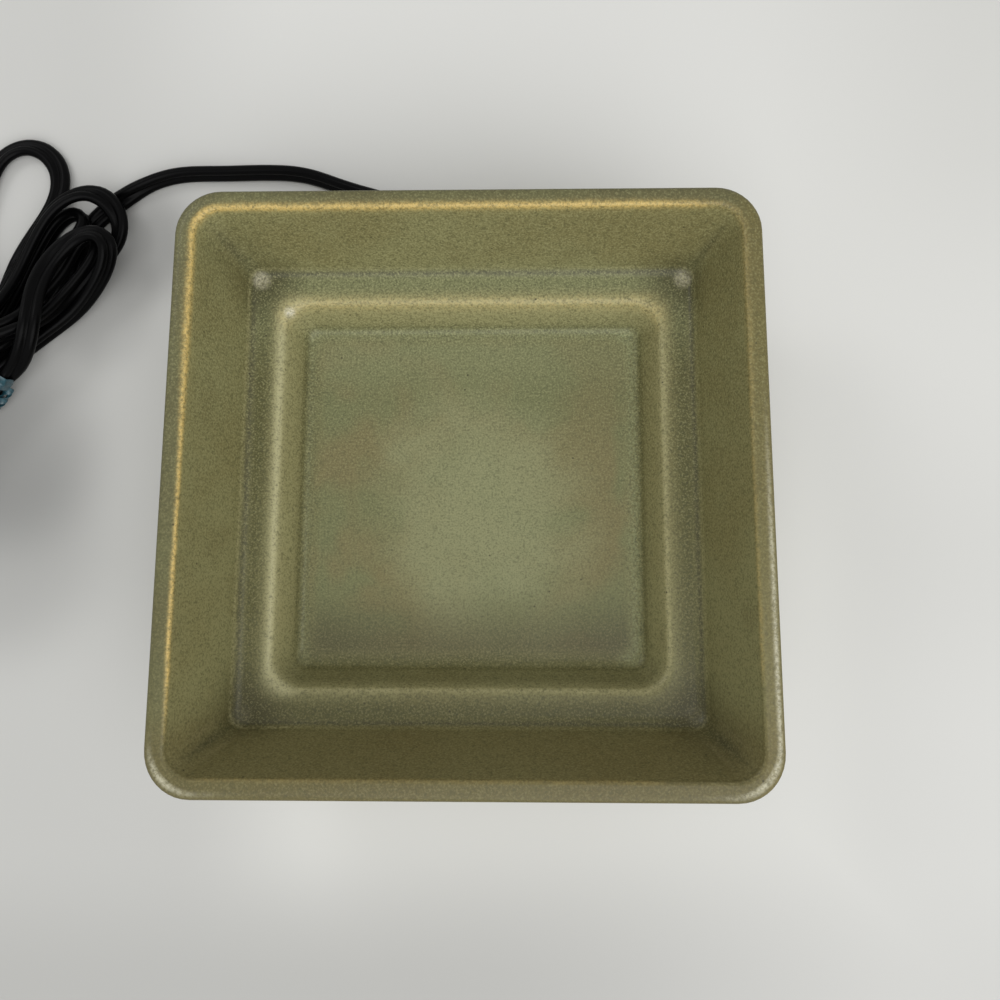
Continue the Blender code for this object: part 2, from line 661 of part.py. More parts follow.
def make_bushing():
    """Strain relief: a flange on each side of the wall and a ribbed, tapered tail."""
    inner_face = -SEAT - BUSHING_FLANGE_THICK
    outer_face = BASE_WALL + SEAT
    root = outer_face + BUSHING_FLANGE_THICK
    corners = [
        (0, inner_face),
        (BUSHING_INNER_FLANGE / 2, inner_face, 0),
        (BUSHING_INNER_FLANGE / 2, -SEAT, 0),
        (BUSHING_NECK / 2, -SEAT, 0),
        (BUSHING_NECK / 2, outer_face, 0),
        (BUSHING_FLANGE / 2, outer_face, 0),
        (BUSHING_FLANGE / 2, root, 0),
    ]
    rib = BUSHING_TAIL / BUSHING_RIBS
    for k in range(BUSHING_RIBS):
        start = root + k * rib
        radius = (BUSHING_ROOT + (BUSHING_TIP - BUSHING_ROOT) * k / (BUSHING_RIBS - 1)) / 2
        corners += [(radius - BUSHING_GROOVE, start, 0), (radius - BUSHING_GROOVE, start + rib * 0.35, 0)]
        corners += [(radius, start + rib * 0.45, 0), (radius, start + rib, 0)]
    corners.append((0, root + BUSHING_TAIL))
    through_wall = at(OUTLET_X, CAVITY_HALF, OUTLET_LEVEL) @ Matrix.Rotation(-math.pi / 2, 4, "X")
    add_mesh("cord_bushing", turned_solid(corners, 20), "cord", through_wall)
    return Vector((OUTLET_X, CAVITY_HALF + root + BUSHING_TAIL, OUTLET_LEVEL))


def hank_frame():
    """Turns (along, across to its left, up) of the hank into the object's frame."""
    return Matrix.Translation(HANK_MIDDLE) @ Matrix.Rotation(HANK_TURN, 4, "Z")


def waist(along):
    """How much of the waist's draw a run has at a place along the hank, from 0 to 1."""
    reach = 0.8 * HANK_RUN
    if abs(along) >= reach:
        return 0.0
    return (1 + math.cos(math.pi * along / reach)) / 2


def hank_half_width(half_turn):
    """Loops spiral in and out at a steady rate, reversing at every third half turn."""
    return HANK_INNER + HANK_STEP / 2 * abs((half_turn + 1) % 6 - 3)


def hank_line():
    """The hank's centreline: runs along it joined by end folds, climbing a layer every third run."""
    tie_lift = TIE_THICK + 2 * SEAT
    line = []
    for k in range(HANK_HALF_TURNS):
        way = 1 if k % 2 == 0 else -1
        half = hank_half_width(k)
        level = CORD_LAID + HANK_LAYER * (k // 3)
        climb = HANK_LAYER if k % 3 == 2 else 0
        first = way * HANK_RUN
        stations = [0.5 * first, 0, -0.5 * first]
        if k == 0:
            stations = [first, first - way * CORD_WIDTH, *stations]
        if k == HANK_HALF_TURNS - 1:
            stations += [-first + way * CORD_WIDTH, -first]
        for along in stations:
            drawn = waist(along)
            climbed = climb * min(1, max(0, 0.5 - along * way / HANK_RUN))
            across = way * (half - HANK_DRAW * drawn)
            line.append(Vector((along, across, level + climbed + tie_lift * drawn)))
        if k == HANK_HALF_TURNS - 1:
            break
        after = hank_half_width(k + 1)
        for step in range(HANK_FOLD_STEPS + 1):
            share = step / HANK_FOLD_STEPS
            turn = math.pi * share
            radius = half + (after - half) * share
            along = -first - way * radius * math.sin(turn)
            line.append(Vector((along, way * radius * math.cos(turn), level + climb)))
    return line


def least_gap(line, width):
    """The least clear distance between two stretches of a tube that aren't neighbours."""
    fine = []
    for start, end in zip(line, line[1:]):
        count = max(1, math.ceil((end - start).length / (width / 8)))
        fine += [start.lerp(end, k / count) for k in range(count)]
    points = np.array(fine)
    travel = np.concatenate([[0], np.cumsum(np.linalg.norm(np.diff(points, axis=0), axis=1))])
    least = math.inf
    for point, here in zip(points, travel):
        apart = np.abs(travel - here) > 3 * width
        least = min(least, np.linalg.norm(points[apart] - point, axis=1).min())
    return least - width


def make_cord(bushing_tip):
    """The cord from the strain relief through the hank to the switch and the plug."""
    frame = hank_frame()
    along = (frame.to_3x3() @ Vector((1, 0, 0))).normalized()
    hank = [frame @ p for p in hank_line()]
    tube("cord_hank", hank, CORD_WIDTH, "cord", resolution=1)
    lengths = {"hank": sum((q - p).length for p, q in zip(hank, hank[1:]))}
    laid = CORD_LAID
    front = [
        Vector((-21.5 * MM, 89.5 * MM, 8.3 * MM)),
        Vector((-26 * MM, 94 * MM, 6.9 * MM)),
        Vector((-34 * MM, 97.6 * MM, 5 * MM)),
        Vector((-43 * MM, 101 * MM, 3.5 * MM)),
        Vector((-51.1 * MM, 104.2 * MM, laid)),
        Vector((-57.6 * MM, 105.9 * MM, laid)),
        Vector((-67.4 * MM, 106.6 * MM, laid)),
        Vector((-82 * MM, 106.4 * MM, laid)),
        Vector((-96.8 * MM, 105.9 * MM, laid)),
        Vector((-103.3 * MM, 104.6 * MM, laid)),
        Vector((-109.7 * MM, 101.9 * MM, laid)),
        Vector((-115.5 * MM, 99.4 * MM, laid)),
        frame @ Vector((66 * MM, -4 * MM, laid)),
        frame @ Vector((65 * MM, 3 * MM, laid)),
        frame @ Vector((60.5 * MM, 10 * MM, laid)),
    ]
    back = Vector((0, 1, 0))
    lengths["front"] = cord_stretch("cord_front", bushing_tip, back, front, hank[0], -along)
    switch_end = SWITCH_PLACE + Vector((-SWITCH_LENGTH / 2, 0, switch_level()))
    to_switch = [
        Vector((-62 * MM, 16.5 * MM, 19.5 * MM)),
        Vector((-71.5 * MM, 21 * MM, 13 * MM)),
        Vector((-76 * MM, 29 * MM, 6.5 * MM)),
        Vector((-73.5 * MM, 38 * MM, 3.6 * MM)),
        Vector((-66 * MM, 43 * MM, laid)),
        Vector((-56 * MM, 44 * MM, 4.4 * MM)),
    ]
    points = [frame @ p for p in to_switch]
    lengths["to_switch"] = cord_stretch("cord_to_switch", hank[-1], -along, points, frame @ switch_end, along)
    switch_far = SWITCH_PLACE + Vector((SWITCH_LENGTH / 2, 0, switch_level()))
    plug_end = PLUG_PLACE + UP * plug_level()
    to_plug = [
        Vector((34 * MM, 46 * MM, 4.4 * MM)),
        Vector((40.5 * MM, 51.5 * MM, laid)),
        Vector((43 * MM, 58.5 * MM, laid)),
        Vector((39.5 * MM, 66.5 * MM, laid)),
        Vector((31 * MM, 71 * MM, 3.6 * MM)),
    ]
    points = [frame @ p for p in to_plug]
    ends = (frame @ switch_far, frame @ plug_end)
    lengths["to_plug"] = cord_stretch("cord_to_plug", ends[0], along, points, ends[1], -along)
    lengths["in the switch"] = SWITCH_LENGTH
    for name, length in lengths.items():
        print(f"cord, {name}: {length / MM:.0f} mm")
    print(f"cord, whole: {sum(lengths.values()) / MM:.0f} mm")
    print(f"hank's least gap to itself: {least_gap(hank, CORD_WIDTH) / MM:.2f} mm")


def make_tie():
    """Twist tie round the hank's waist, with its twisted tail."""
    radius = CORD_WIDTH / 2
    left = hank_half_width(0) - HANK_DRAW + radius + 2 * SEAT
    right = -(hank_half_width(5) - HANK_DRAW) - radius - 2 * SEAT
    low = CORD_LAID + TIE_THICK + 2 * SEAT - radius - SEAT
    high = low + 2 * radius + HANK_LAYER * 3 + 2 * SEAT
    middle = ((left + right) / 2, (low + high) / 2)
    half = ((left - right) / 2, (high - low) / 2)
    rings = []
    for grow, z in ((0, -1), (TIE_THICK, -1), (TIE_THICK, 1), (0, 1)):
        ring = rounded_rectangle(half[0] + grow, half[1] + grow, TIE_CORNER + grow, z * TIE_WIDTH / 2)
        rings.append(ring)
    across_up = Matrix(((0, 0, 1, 0), (1, 0, 0, middle[0]), (0, 1, 0, middle[1]), (0, 0, 0, 1)))
    band = add_mesh("hank_tie", loft(rings, closed=True), "tie", hank_frame() @ across_up)
    tail = []
    for k in range(13):
        share = k / 12
        twist = Matrix.Rotation(2 * math.pi * TIE_TAIL_TURNS * share, 3, "Z")
        size = 1 - 0.25 * share
        ring = rounded_rectangle(TIE_TAIL_WIDTH / 2 * size, TIE_TAIL_THICK / 2 * size, 0.6 * MM, 0, 2)
        tail.append([twist @ p + UP * (TIE_TAIL * share - TIE_THICK / 2) for p in ring])
    outward = Matrix.Rotation(math.radians(TIE_TAIL_TURN), 4, "Z") @ Matrix.Rotation(math.radians(80), 4, "Y")
    place = hank_frame() @ at(0, right - TIE_THICK / 2, low + 0.62 * (high - low)) @ outward
    combine(band, cutter("tie_tail", loft(tail), place), "UNION")


def switch_level():
    return FLOOR_CLEAR + SWITCH_HEIGHT / 2


def plug_level():
    return FLOOR_CLEAR + PLUG_HEIGHT / 2


def switch_shell(steps=4):
    """One half of the switch housing, standing open side up on z = 0."""
    high = SWITCH_HEIGHT / 2 - SEAT / 2
    half_x, half_y = SWITCH_LENGTH / 2, SWITCH_WIDTH / 2
    outside = [(0, 0), (0, 0, SWITCH_ROUND), (0, high, 0), (-SWITCH_WALL, high, 0)]
    outside += [(-SWITCH_WALL, SWITCH_WALL, SWITCH_ROUND / 2), (-half_y, SWITCH_WALL)]
    outside[0] = (-half_y, 0)
    rings = []
    for inset, z in rounded_profile(outside, 3):
        rings.append(rounded_rectangle(half_x + inset, half_y + inset, SWITCH_CORNER + inset, z, steps))
    return loft(rings)


def make_switch():
    """Inline switch: two shells, a thumbwheel on an axle, brass contacts and two screws."""
    frame = hank_frame() @ Matrix.Translation(SWITCH_PLACE) @ at(z=FLOOR_CLEAR)
    over = at(z=SWITCH_HEIGHT) @ Matrix.Rotation(math.pi, 4, "X")
    wheel_y = SWITCH_WIDTH / 2 + WHEEL_PROUD - WHEEL_WIDTH / 2
    level = SWITCH_HEIGHT / 2
    shells = {"switch_base": (frame, 1), "switch_cover": (frame @ over, -1)}
    half_slot = WHEEL_THICK / 2 + WHEEL_CLEAR
    opening = disc(WHEEL_WIDTH / 2 + WHEEL_CLEAR, -half_slot, half_slot, steps=40)
    wheel_cutter = cutter("wheel_slot_cutter", opening, frame @ at(0, wheel_y, level))
    entry = rounded_rectangle(ENTRY_WIDTH / 2, ENTRY_HEIGHT / 2, ENTRY_HEIGHT / 2, 0, 4)
    reach = SWITCH_LENGTH / 2 + SWITCH_WALL
    entry_solid = loft([[p + UP * z for p in entry] for z in (-reach, reach)])
    lengthwise = Matrix(((0, 0, 1, 0), (1, 0, 0, 0), (0, 1, 0, level), (0, 0, 0, 1)))
    entry_cutter = cutter("cord_entry_cutter", entry_solid, frame @ lengthwise)
    for name, (place, side) in shells.items():
        shell = add_mesh(name, switch_shell(), "switch", place)
        for end in (-1, 1):
            post = disc(POST_WIDTH / 2, SWITCH_WALL / 2, level - SEAT / 2, steps=16)
            post_place = place @ at(end * POST_X, side * POST_Y)
            combine(shell, cutter(f"{name}_post_{end + 1}", post, post_place), "UNION")
        combine(shell, wheel_cutter)
        combine(shell, entry_cutter)
        for end in (-1, 1):
            if side > 0:
                clear = SCREW_CLEAR
                head = SCREW_HEAD_SUNK + SCREW_HEAD_THICK + SEAT
                wide = SCREW_HEAD / 2 + clear
                narrow = SCREW_WIDTH / 2 + clear
                corners = [(0, -1 * MM), (wide, -1 * MM, 0), (wide, head, 0)]
                corners += [(narrow, head, 0), (narrow, SWITCH_HEIGHT, 0), (0, SWITCH_HEIGHT)]
                hole = turned_solid(corners, 16)
            else:
                hole = disc(SCREW_WIDTH / 2 + SCREW_CLEAR, 2 * SWITCH_WALL, SWITCH_HEIGHT, steps=16)
            hole_place = place @ at(end * POST_X, side * POST_Y)
            combine(shell, cutter(f"{name}_hole_{end + 1}", hole, hole_place))
    make_wheel(frame @ at(0, wheel_y, level))
    axle_half = level - SWITCH_WALL - SEAT
    axle = disc(AXLE_WIDTH / 2, -axle_half, axle_half, 0.3 * MM, 16)
    add_mesh("switch_axle", axle, "steel", frame @ at(0, wheel_y, level))
    make_contacts(frame @ at(0, 0, level), wheel_y)
    for end, name in ((-1, "near"), (1, "far")):
        screw_place = frame @ at(end * POST_X, POST_Y, SCREW_HEAD_SUNK)
        make_screw(f"switch_screw_{name}", screw_place)


def make_wheel(place):
    """A ridged thumbwheel with a bore for its axle."""
    half = WHEEL_THICK / 2
    rim = WHEEL_WIDTH / 2
    steps = WHEEL_RIDGES * 4
    crest = [rim - WHEEL_RIDGE * (k % 4 in (2, 3)) for k in range(steps)]
    bore = AXLE_WIDTH / 2 + AXLE_CLEAR
    edge = WHEEL_EDGE
    outline = [(None, -half), (edge, -half), (0, -half + edge), (0, half - edge), (edge, half), (None, half)]
    rings = []
    for inset, z in outline:
        ring = []
        for k in range(steps):
            turn = 2 * math.pi * k / steps
            radius = bore if inset is None else crest[k] - inset
            ring.append(Vector((radius * math.cos(turn), radius * math.sin(turn), z)))
        rings.append(ring)
    add_mesh("switch_thumbwheel", loft(rings, closed=True), "switch", place)


def make_contacts(place, wheel_y):
    """Two brass leaves beside the wheel, the cut core's ends, and the core that runs through uncut."""
    half = SWITCH_HEIGHT / 2 - SWITCH_WALL - SEAT
    reach = WHEEL_WIDTH / 2 + SEAT + CONTACT_THICK
    lean = math.radians(205)
    tip = (reach * math.cos(lean), wheel_y + reach * math.sin(lean))
    face = SWITCH_LENGTH / 2
    root_x = face - SWITCH_WALL - CONTACT_INSET
    path = [(-root_x, CORE_PITCH / 2), (-root_x + 9 * MM, CORE_PITCH / 2)]
    path += [(tip[0] - 2.2 * MM, tip[1] + 2 * MM), (tip[0], tip[1] - 1 * MM)]
    thick = CONTACT_THICK
    for name, side in (("near", 1), ("far", -1)):
        upper = [(x * side, y + thick / 2) for x, y in path]
        lower = [(x * side, y - thick / 2) for x, y in path]
        outline = lower + upper[::-1] if side > 0 else upper + lower[::-1]
        add_mesh(f"switch_contact_{name}", prism(outline, -half, half), "brass", place)
        stub = [Vector((-x * side, CORE_PITCH / 2, 0)) for x in (face, root_x + SEAT)]
        tube(f"switch_live_core_{name}", [place @ p for p in stub], CORE_WIDTH, "lead")
    wall = SWITCH_WIDTH / 2 - SWITCH_WALL
    pass_y = -(wall - CORE_WIDTH / 2 - SEAT - 0.4 * MM)
    points = [(-face, -CORE_PITCH / 2, 0), (-face + 5 * MM, -CORE_PITCH / 2, 0)]
    points += [(-root_x + 14 * MM, pass_y, 0), (0, pass_y, 0), (root_x - 14 * MM, pass_y, 0)]
    points += [(face - 5 * MM, -CORE_PITCH / 2, 0), (face, -CORE_PITCH / 2, 0)]
    placed = [place @ Vector(p) for p in points]
    tube("switch_neutral_core", smooth_curve(placed, 4 * MM), CORE_WIDTH, "lead")


def make_screw(name, place):
    """A slotted screw, head down."""
    length = SWITCH_HEIGHT - SWITCH_WALL - 2 * SCREW_HEAD_SUNK - 2 * MM
    corners = [(0, 0), (SCREW_HEAD / 2, 0, 0.3 * MM), (SCREW_HEAD / 2, SCREW_HEAD_THICK, 0)]
    corners += [(SCREW_WIDTH / 2, SCREW_HEAD_THICK, 0), (SCREW_WIDTH / 2, length, 0.4 * MM), (0, length)]
    screw = add_mesh(name, turned_solid(corners, 16, 1), "steel", place)
    half = SCREW_HEAD
    slot = box((-half, -SCREW_SLOT / 2, -1 * MM), (half, SCREW_SLOT / 2, SCREW_HEAD_THICK / 2))
    combine(screw, cutter(f"{name}_slot_cutter", slot, place))


def make_plug():
    """Moulded two-pin plug with a ribbed, tapered tail."""
    turned = Matrix(((0, 0, -1, 0), (1, 0, 0, 0), (0, 1, 0, 0), (0, 0, 0, 1)))
    frame = hank_frame() @ at(*PLUG_PLACE[:2], plug_level()) @ turned
    tail_half = (PLUG_TAIL_WIDTH / 2, PLUG_TAIL_HEIGHT / 2)
    neck_half = (PLUG_NECK_WIDTH / 2, PLUG_NECK_HEIGHT / 2)
    body_half = (PLUG_WIDTH / 2, PLUG_HEIGHT / 2)
    rings = []
    ribs = 4
    rib = PLUG_TAIL / ribs
    for k in range(ribs):
        share = k / (ribs - 1)
        half = [a + (b - a) * share for a, b in zip(tail_half, neck_half)]
        for place, sunk in ((0, 0), (0.55, 0), (0.65, BUSHING_GROOVE), (0.95, BUSHING_GROOVE)):
            rings.append((half[0] - sunk, half[1] - sunk, (k + place) * rib))
    grip = [(0.0, 0.0), (0.12, 0.35), (0.26, 0.68), (0.42, 0.8)]
    grip += [(0.56, 0.76), (0.7, 0.82), (0.84, 0.97), (0.96, 1.0)]
    for share, grown in grip:
        half = [a + (b - a) * grown for a, b in zip(neck_half, body_half)]
        rings.append((half[0], half[1], PLUG_TAIL + PLUG_BODY * share))
    rings.append((body_half[0] - 1 * MM, body_half[1] - 1 * MM, PLUG_TAIL + PLUG_BODY))
    solid = loft([rounded_rectangle(x, y, min(x, y) * 0.75, z, 3) for x, y, z in rings])
    body = add_mesh("plug_body", solid, "cord", frame)
    front = PLUG_TAIL + PLUG_BODY
    for name, side, width in (("plug_blade_live", -1, BLADE_WIDTH), ("plug_blade_neutral", 1, BLADE_WIDE)):
        x = side * BLADE_PITCH / 2
        low = (x - BLADE_THICK / 2 - SEAT, -width / 2 - SEAT, front - BLADE_ROOT - SEAT)
        high = (x + BLADE_THICK / 2 + SEAT, width / 2 + SEAT, front + BLADE_ROOT)
        combine(body, cutter(f"{name}_pocket_cutter", box(low, high), frame))
        end = BLADE_ROOT + BLADE_LENGTH
        tip = BLADE_CHAMFER
        outline = [(0, -width / 2), (end - tip, -width / 2), (end, -width / 2 + tip)]
        outline += [(end, width / 2 - tip), (end - tip, width / 2), (0, width / 2)]
        forward = Matrix(((0, 0, 1, x), (0, 1, 0, 0), (-1, 0, 0, 0), (0, 0, 0, 1)))
        lengthwise = frame @ at(z=front - BLADE_ROOT) @ Matrix.Scale(-1, 4, (0, 0, 1)) @ forward
        blade_solid = prism(outline, -BLADE_THICK / 2, BLADE_THICK / 2)
        bmesh.ops.transform(blade_solid, matrix=frame.inverted() @ lengthwise, verts=blade_solid.verts)
        bmesh.ops.recalc_face_normals(blade_solid, faces=blade_solid.faces)
        blade = add_mesh(name, blade_solid, "brass", frame)
        hole = disc(BLADE_HOLE / 2, -BLADE_THICK, BLADE_THICK, steps=16)
        sideways = at(x, 0, front + BLADE_HOLE_PLACE) @ Matrix.Rotation(math.pi / 2, 4, "Y")
        combine(blade, cutter(f"{name}_hole_cutter", hole, frame @ sideways))


def main():
    clear_scene()
    make_dish()
    make_base()
    make_heater()
    make_fuse()
    make_wiring()
    make_underside()
    bushing_tip = make_bushing()
    make_cord(bushing_tip)
    make_tie()
    make_switch()
    make_plug()


main()
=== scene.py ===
import math

import bmesh
import bpy
import numpy as np
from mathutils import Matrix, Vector


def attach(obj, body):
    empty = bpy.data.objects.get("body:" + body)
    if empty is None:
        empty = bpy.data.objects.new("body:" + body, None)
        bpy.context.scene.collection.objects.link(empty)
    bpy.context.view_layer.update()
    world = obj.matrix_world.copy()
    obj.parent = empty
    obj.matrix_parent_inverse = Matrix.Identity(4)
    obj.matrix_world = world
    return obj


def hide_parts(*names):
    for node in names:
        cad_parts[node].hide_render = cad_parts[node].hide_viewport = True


MM = 0.001

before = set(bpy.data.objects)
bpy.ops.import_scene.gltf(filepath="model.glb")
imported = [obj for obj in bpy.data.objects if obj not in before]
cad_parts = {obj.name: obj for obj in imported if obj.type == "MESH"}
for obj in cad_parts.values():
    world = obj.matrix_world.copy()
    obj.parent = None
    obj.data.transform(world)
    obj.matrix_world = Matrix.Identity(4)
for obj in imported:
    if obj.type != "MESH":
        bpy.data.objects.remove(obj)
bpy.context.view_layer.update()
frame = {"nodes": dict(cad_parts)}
nodes = frame["nodes"]

# The camera


def set_camera():
    """Sees the part as the photograph does."""
    data = bpy.data.cameras.new("camera")
    data.sensor_width = 36
    data.lens = 36.05
    data.shift_y = -0.0776
    data.clip_start = 0.01
    data.clip_end = 20
    camera = bpy.data.objects.new("camera", data)
    camera.location = [v * MM for v in (14.9, -28.6, 306.8)]
    camera.rotation_euler = [math.radians(v) for v in (9.91, 1.42, 0.11)]
    bpy.context.scene.collection.objects.link(camera)
    bpy.context.scene.camera = camera


set_camera()

# Writing finishes


def rgb(red, green, blue):
    """A colour read on a screen, from 0 to 255, as the linear one that a shader takes."""
    parts = [v / 255 for v in (red, green, blue)]
    return tuple(v / 12.92 if v <= 0.04045 else ((v + 0.055) / 1.055) ** 2.4 for v in parts)


class Value:
    """A number that changes over a surface. Sums on it add Math nodes to its tree."""

    def __init__(self, nodes, socket):
        self.nodes = nodes
        self.socket = socket

    def math(self, operation, *others):
        values = dict(enumerate((self, *others)))
        return self.nodes.node("ShaderNodeMath", {"operation": operation}, values)

    def __add__(self, other):
        return self.math("ADD", other)

    __radd__ = __add__

    def __mul__(self, other):
        return self.math("MULTIPLY", other)

    __rmul__ = __mul__

    def __sub__(self, other):
        return self.math("SUBTRACT", other)

    def __rsub__(self, other):
        return (self * -1) + other

    def __truediv__(self, other):
        return self.math("DIVIDE", other)

    def __rtruediv__(self, other):
        return self.math("POWER", -1) * other

    def __pow__(self, other):
        return self.math("POWER", other)

    def __abs__(self):
        return self.math("ABSOLUTE")

    def least(self, other):
        return self.math("MINIMUM", other)

    def most(self, other):
        return self.math("MAXIMUM", other)

    def near(self, middle, width):
        """1 where the value is the middle one, and falling softly to 0 about a width away."""
        offset = (self - middle) / width
        return (offset * offset * -1).math("EXPONENT")

    def rise(self, start, end):
        """0 up to the start and 1 from the end on, or the other way round."""
        values = {"Value": self, "From Min": start, "From Max": end}
        return self.nodes.node("ShaderNodeMapRange", {"interpolation_type": "SMOOTHSTEP"}, values)


class Nodes:
    """The nodes of a finish or the world."""

    def __init__(self, tree):
        self.tree = tree

    def node(self, kind, settings, values, output=0):
        """Adds a node: its settings first, then the values or links of its sockets."""
        node = self.tree.nodes.new(kind)
        for label, value in settings.items():
            setattr(node, label, value)
        for label, value in values.items():
            self.set(node.inputs[label], value)
        return Value(self, node.outputs[output])

    def set(self, socket, value):
        """Links a value to a socket, or sets a plain number or colour on it."""
        if isinstance(value, Value):
            self.tree.links.new(value.socket, socket)
        elif socket.type == "RGBA":
            socket.default_value = (*value[:3], 1)
        else:
            socket.default_value = value


def socket_label(word):
    return word.replace("_", " ").title().replace("Ior", "IOR")


class Finish(Nodes):
    """One procedural material. Its constants are set on the shader's own sockets."""

    def __init__(self, name, **constants):
        self.material = bpy.data.materials.new(name)
        self.material.use_nodes = True
        super().__init__(self.material.node_tree)
        self.shader = self.tree.nodes["Principled BSDF"]
        for label, value in constants.items():
            self.shader.inputs[socket_label(label)].default_value = value
        self.place = self.node("ShaderNodeTexCoord", {}, {}, "Object")
        self.x, self.y, self.z = (
            self.node("ShaderNodeSeparateXYZ", {}, {"Vector": self.place}, axis) / MM
            for axis in "XYZ"
        )

    def paint(self, **looks):
        """Sets or links the shader's own sockets, and gives the finish back."""
        for label, value in looks.items():
            self.set(self.shader.inputs[socket_label(label)], value)
        return self

    def mix(self, share, first, second):
        """The first colour where the share is 0 and the second where it is 1."""
        node = {"data_type": "RGBA", "clamp_factor": True}
        return self.node("ShaderNodeMix", node, {0: share, 6: first, 7: second}, 2)

    def coats(self, colour, *coats):
        """Lays coats over a colour, each one given as its share and its own colour."""
        for share, coat in coats:
            colour = self.mix(share, colour, coat)
        return colour

    def noise(self, size, detail=2.0, roughness=0.5, warp=0.0):
        """Cloudy noise from 0 to 1, whose patches are about so many millimetres."""
        values = {"Vector": self.place, "Scale": 1 / (size * MM), "Detail": detail}
        values |= {"Roughness": roughness, "Distortion": warp}
        return self.node("ShaderNodeTexNoise", {}, values, "Fac")

    def cells(self, size, output="Distance"):
        """Cells about so many millimetres wide: the distance from their points, or a colour."""
        values = {"Vector": self.place, "Scale": 1 / (size * MM)}
        return self.node("ShaderNodeTexVoronoi", {}, values, output)

    def radius(self):
        """How far a point lies from the part's upright axis, in millimetres."""
        return (self.x * self.x + self.y * self.y) ** 0.5

    def round_spot(self, aside, ahead, size, soft, ragged=0):
        """1 where both offsets are 0, and falling to 0 about a size away from there."""
        aside, ahead = aside / size, ahead / size
        return (aside * aside + ahead * ahead + ragged).near(0, soft)

    def bump(self, height, depth):
        """A Normal from a height, where 1 stands so many millimetres proud."""
        values = {"Height": height, "Distance": depth * MM, "Strength": 1.0}
        return self.node("ShaderNodeBump", {}, values, "Normal")


def dress(thing, finish, body=None):
    """Gives a piece its finish, and attaches it to a body if one is given."""
    piece = nodes[thing] if isinstance(thing, str) else thing
    piece.data.materials.clear()
    piece.data.materials.append(finish.material)
    if body:
        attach(piece, body)
    return piece


# Working in edit mode


def start(name, primitive, **settings):
    """Adds a primitive with nothing else selected, and goes into edit mode on it."""
    bpy.ops.object.select_all(action="DESELECT")
    getattr(bpy.ops.mesh, f"primitive_{primitive}_add")(**settings)
    piece = bpy.context.object
    piece.name = name
    piece.data.name = name
    bpy.ops.object.mode_set(mode="EDIT")
    return piece


def done(piece, angle=40):
    """Leaves edit mode, and shades the piece smooth up to an angle in degrees."""
    bpy.ops.object.mode_set(mode="OBJECT")
    bpy.ops.object.transform_apply(location=True, rotation=True, scale=True)
    bpy.ops.object.shade_smooth_by_angle(angle=math.radians(angle))
    return piece


# The mains cord

# The cord is two insulated cores side by side, so its section is two lobes. All of its
# sizes and the points of its route are in millimetres. A point of the route is a place and a
# lean in degrees: upright at 0, with one lobe over the other, and flat on its side at 90.
LOBE = 1.6
# The part of each lobe's circle that shows beside the web between them, in degrees.
LOBE_ARC = 308
# The room that strands keep from each other, and from the table, when they are laid.
STRAND_GAP = 0.15
TABLE_GAP = 0.1
# Strands that start further apart than this in plan aren't compared.
OUT_OF_REACH = 16
# The hank's waist, where the tie holds it, and which way the hank lies.
WAIST = (-152.7, 41.7)
WAIST_TURN = math.radians(55)
HANK_MIDDLE = (-159.0, 43.0)
EXIT = (-20.0, 79.8, 9.1)

along_hank = np.array([math.cos(WAIST_TURN), math.sin(WAIST_TURN)])
across_hank = np.array([along_hank[1], -along_hank[0]])


def at_waist(back, right, level, lean=0):
    """A point so far behind the tie and so far to its right, with the cord's lean there."""
    x, y = np.array(WAIST) - back * along_hank + right * across_hank
    return (x, y, level, lean)


def at_hank(ahead, left, level, lean=0):
    """The same from the middle of the hank, so far ahead of it and so far to its left."""
    x, y = np.array(HANK_MIDDLE) + ahead * along_hank - left * across_hank
    return (x, y, level, lean)


def far_fold(middle, half, reach, levels, leans=(0, 0, 0)):
    """The points of a fold beyond the tie: out on one side, round, and back on the other.

    It goes out to the right of a middle line and comes back to its left, or the other way
    round where the half width is negative. Levels and leans are those out, round and back.
    """
    lean_out, lean_round, lean_back = leans
    out, level, back = levels
    turns = [math.radians(turn) for turn in (45, 90, 135)]
    places = [(reach + abs(half) * math.sin(t), middle + half * math.cos(t)) for t in turns]
    return [
        at_waist(16, middle + half * 0.4, out, lean_out),
        at_waist(32, middle + half * 0.9, out, lean_out),
        at_waist(reach, middle + half, level, lean_round),
        *(at_waist(*place, level, lean_round) for place in places),
        at_waist(reach, middle - half, level, lean_round),
        at_waist(32, middle - half * 0.9, back, lean_back),
        at_waist(16, middle - half * 0.4, back, lean_back),
    ]


def turned(points):
    """The same points with the cord turned half round."""
    return [(x, y, level, lean - 180) for x, y, level, lean in points]


from_base = [
    (*EXIT, -12), (-20, 85.7, 9.1, -12), (-21.5, 89.6, 8.4, -12), (-26, 94, 7, -12),
    (-34, 97.6, 5.2, -12), (-43, 101, 3.8, -12), (-51.1, 104.2, 3.3, -12),
    (-57.6, 105.9, 3.3, -12), (-67.4, 106.6, 3.3, -12), (-74, 106.6, 3.3, -12),
    (-82.7, 106.4, 3.3, -12), (-90.6, 106.4, 3.3, -12), (-98.3, 105.7, 3.3, -12),
    (-103.5, 104.2, 3.3, -12), (-108.6, 101.9, 3.3, -20), (-113.4, 99.2, 2.9, -42),
    (-118.6, 95.8, 2.3, -70), (-123.6, 91.6, 2, -88), (-127, 86.6, 2, -90),
    (-128.6, 81, 2, -90), (-129.2, 75, 2, -90), (-131.4, 69.2, 2.2, -80),
    (-135.2, 62.6, 2.2, -75), (-139.6, 56, 2.8, -50), (-143.4, 49.2, 3.3, -15),
]
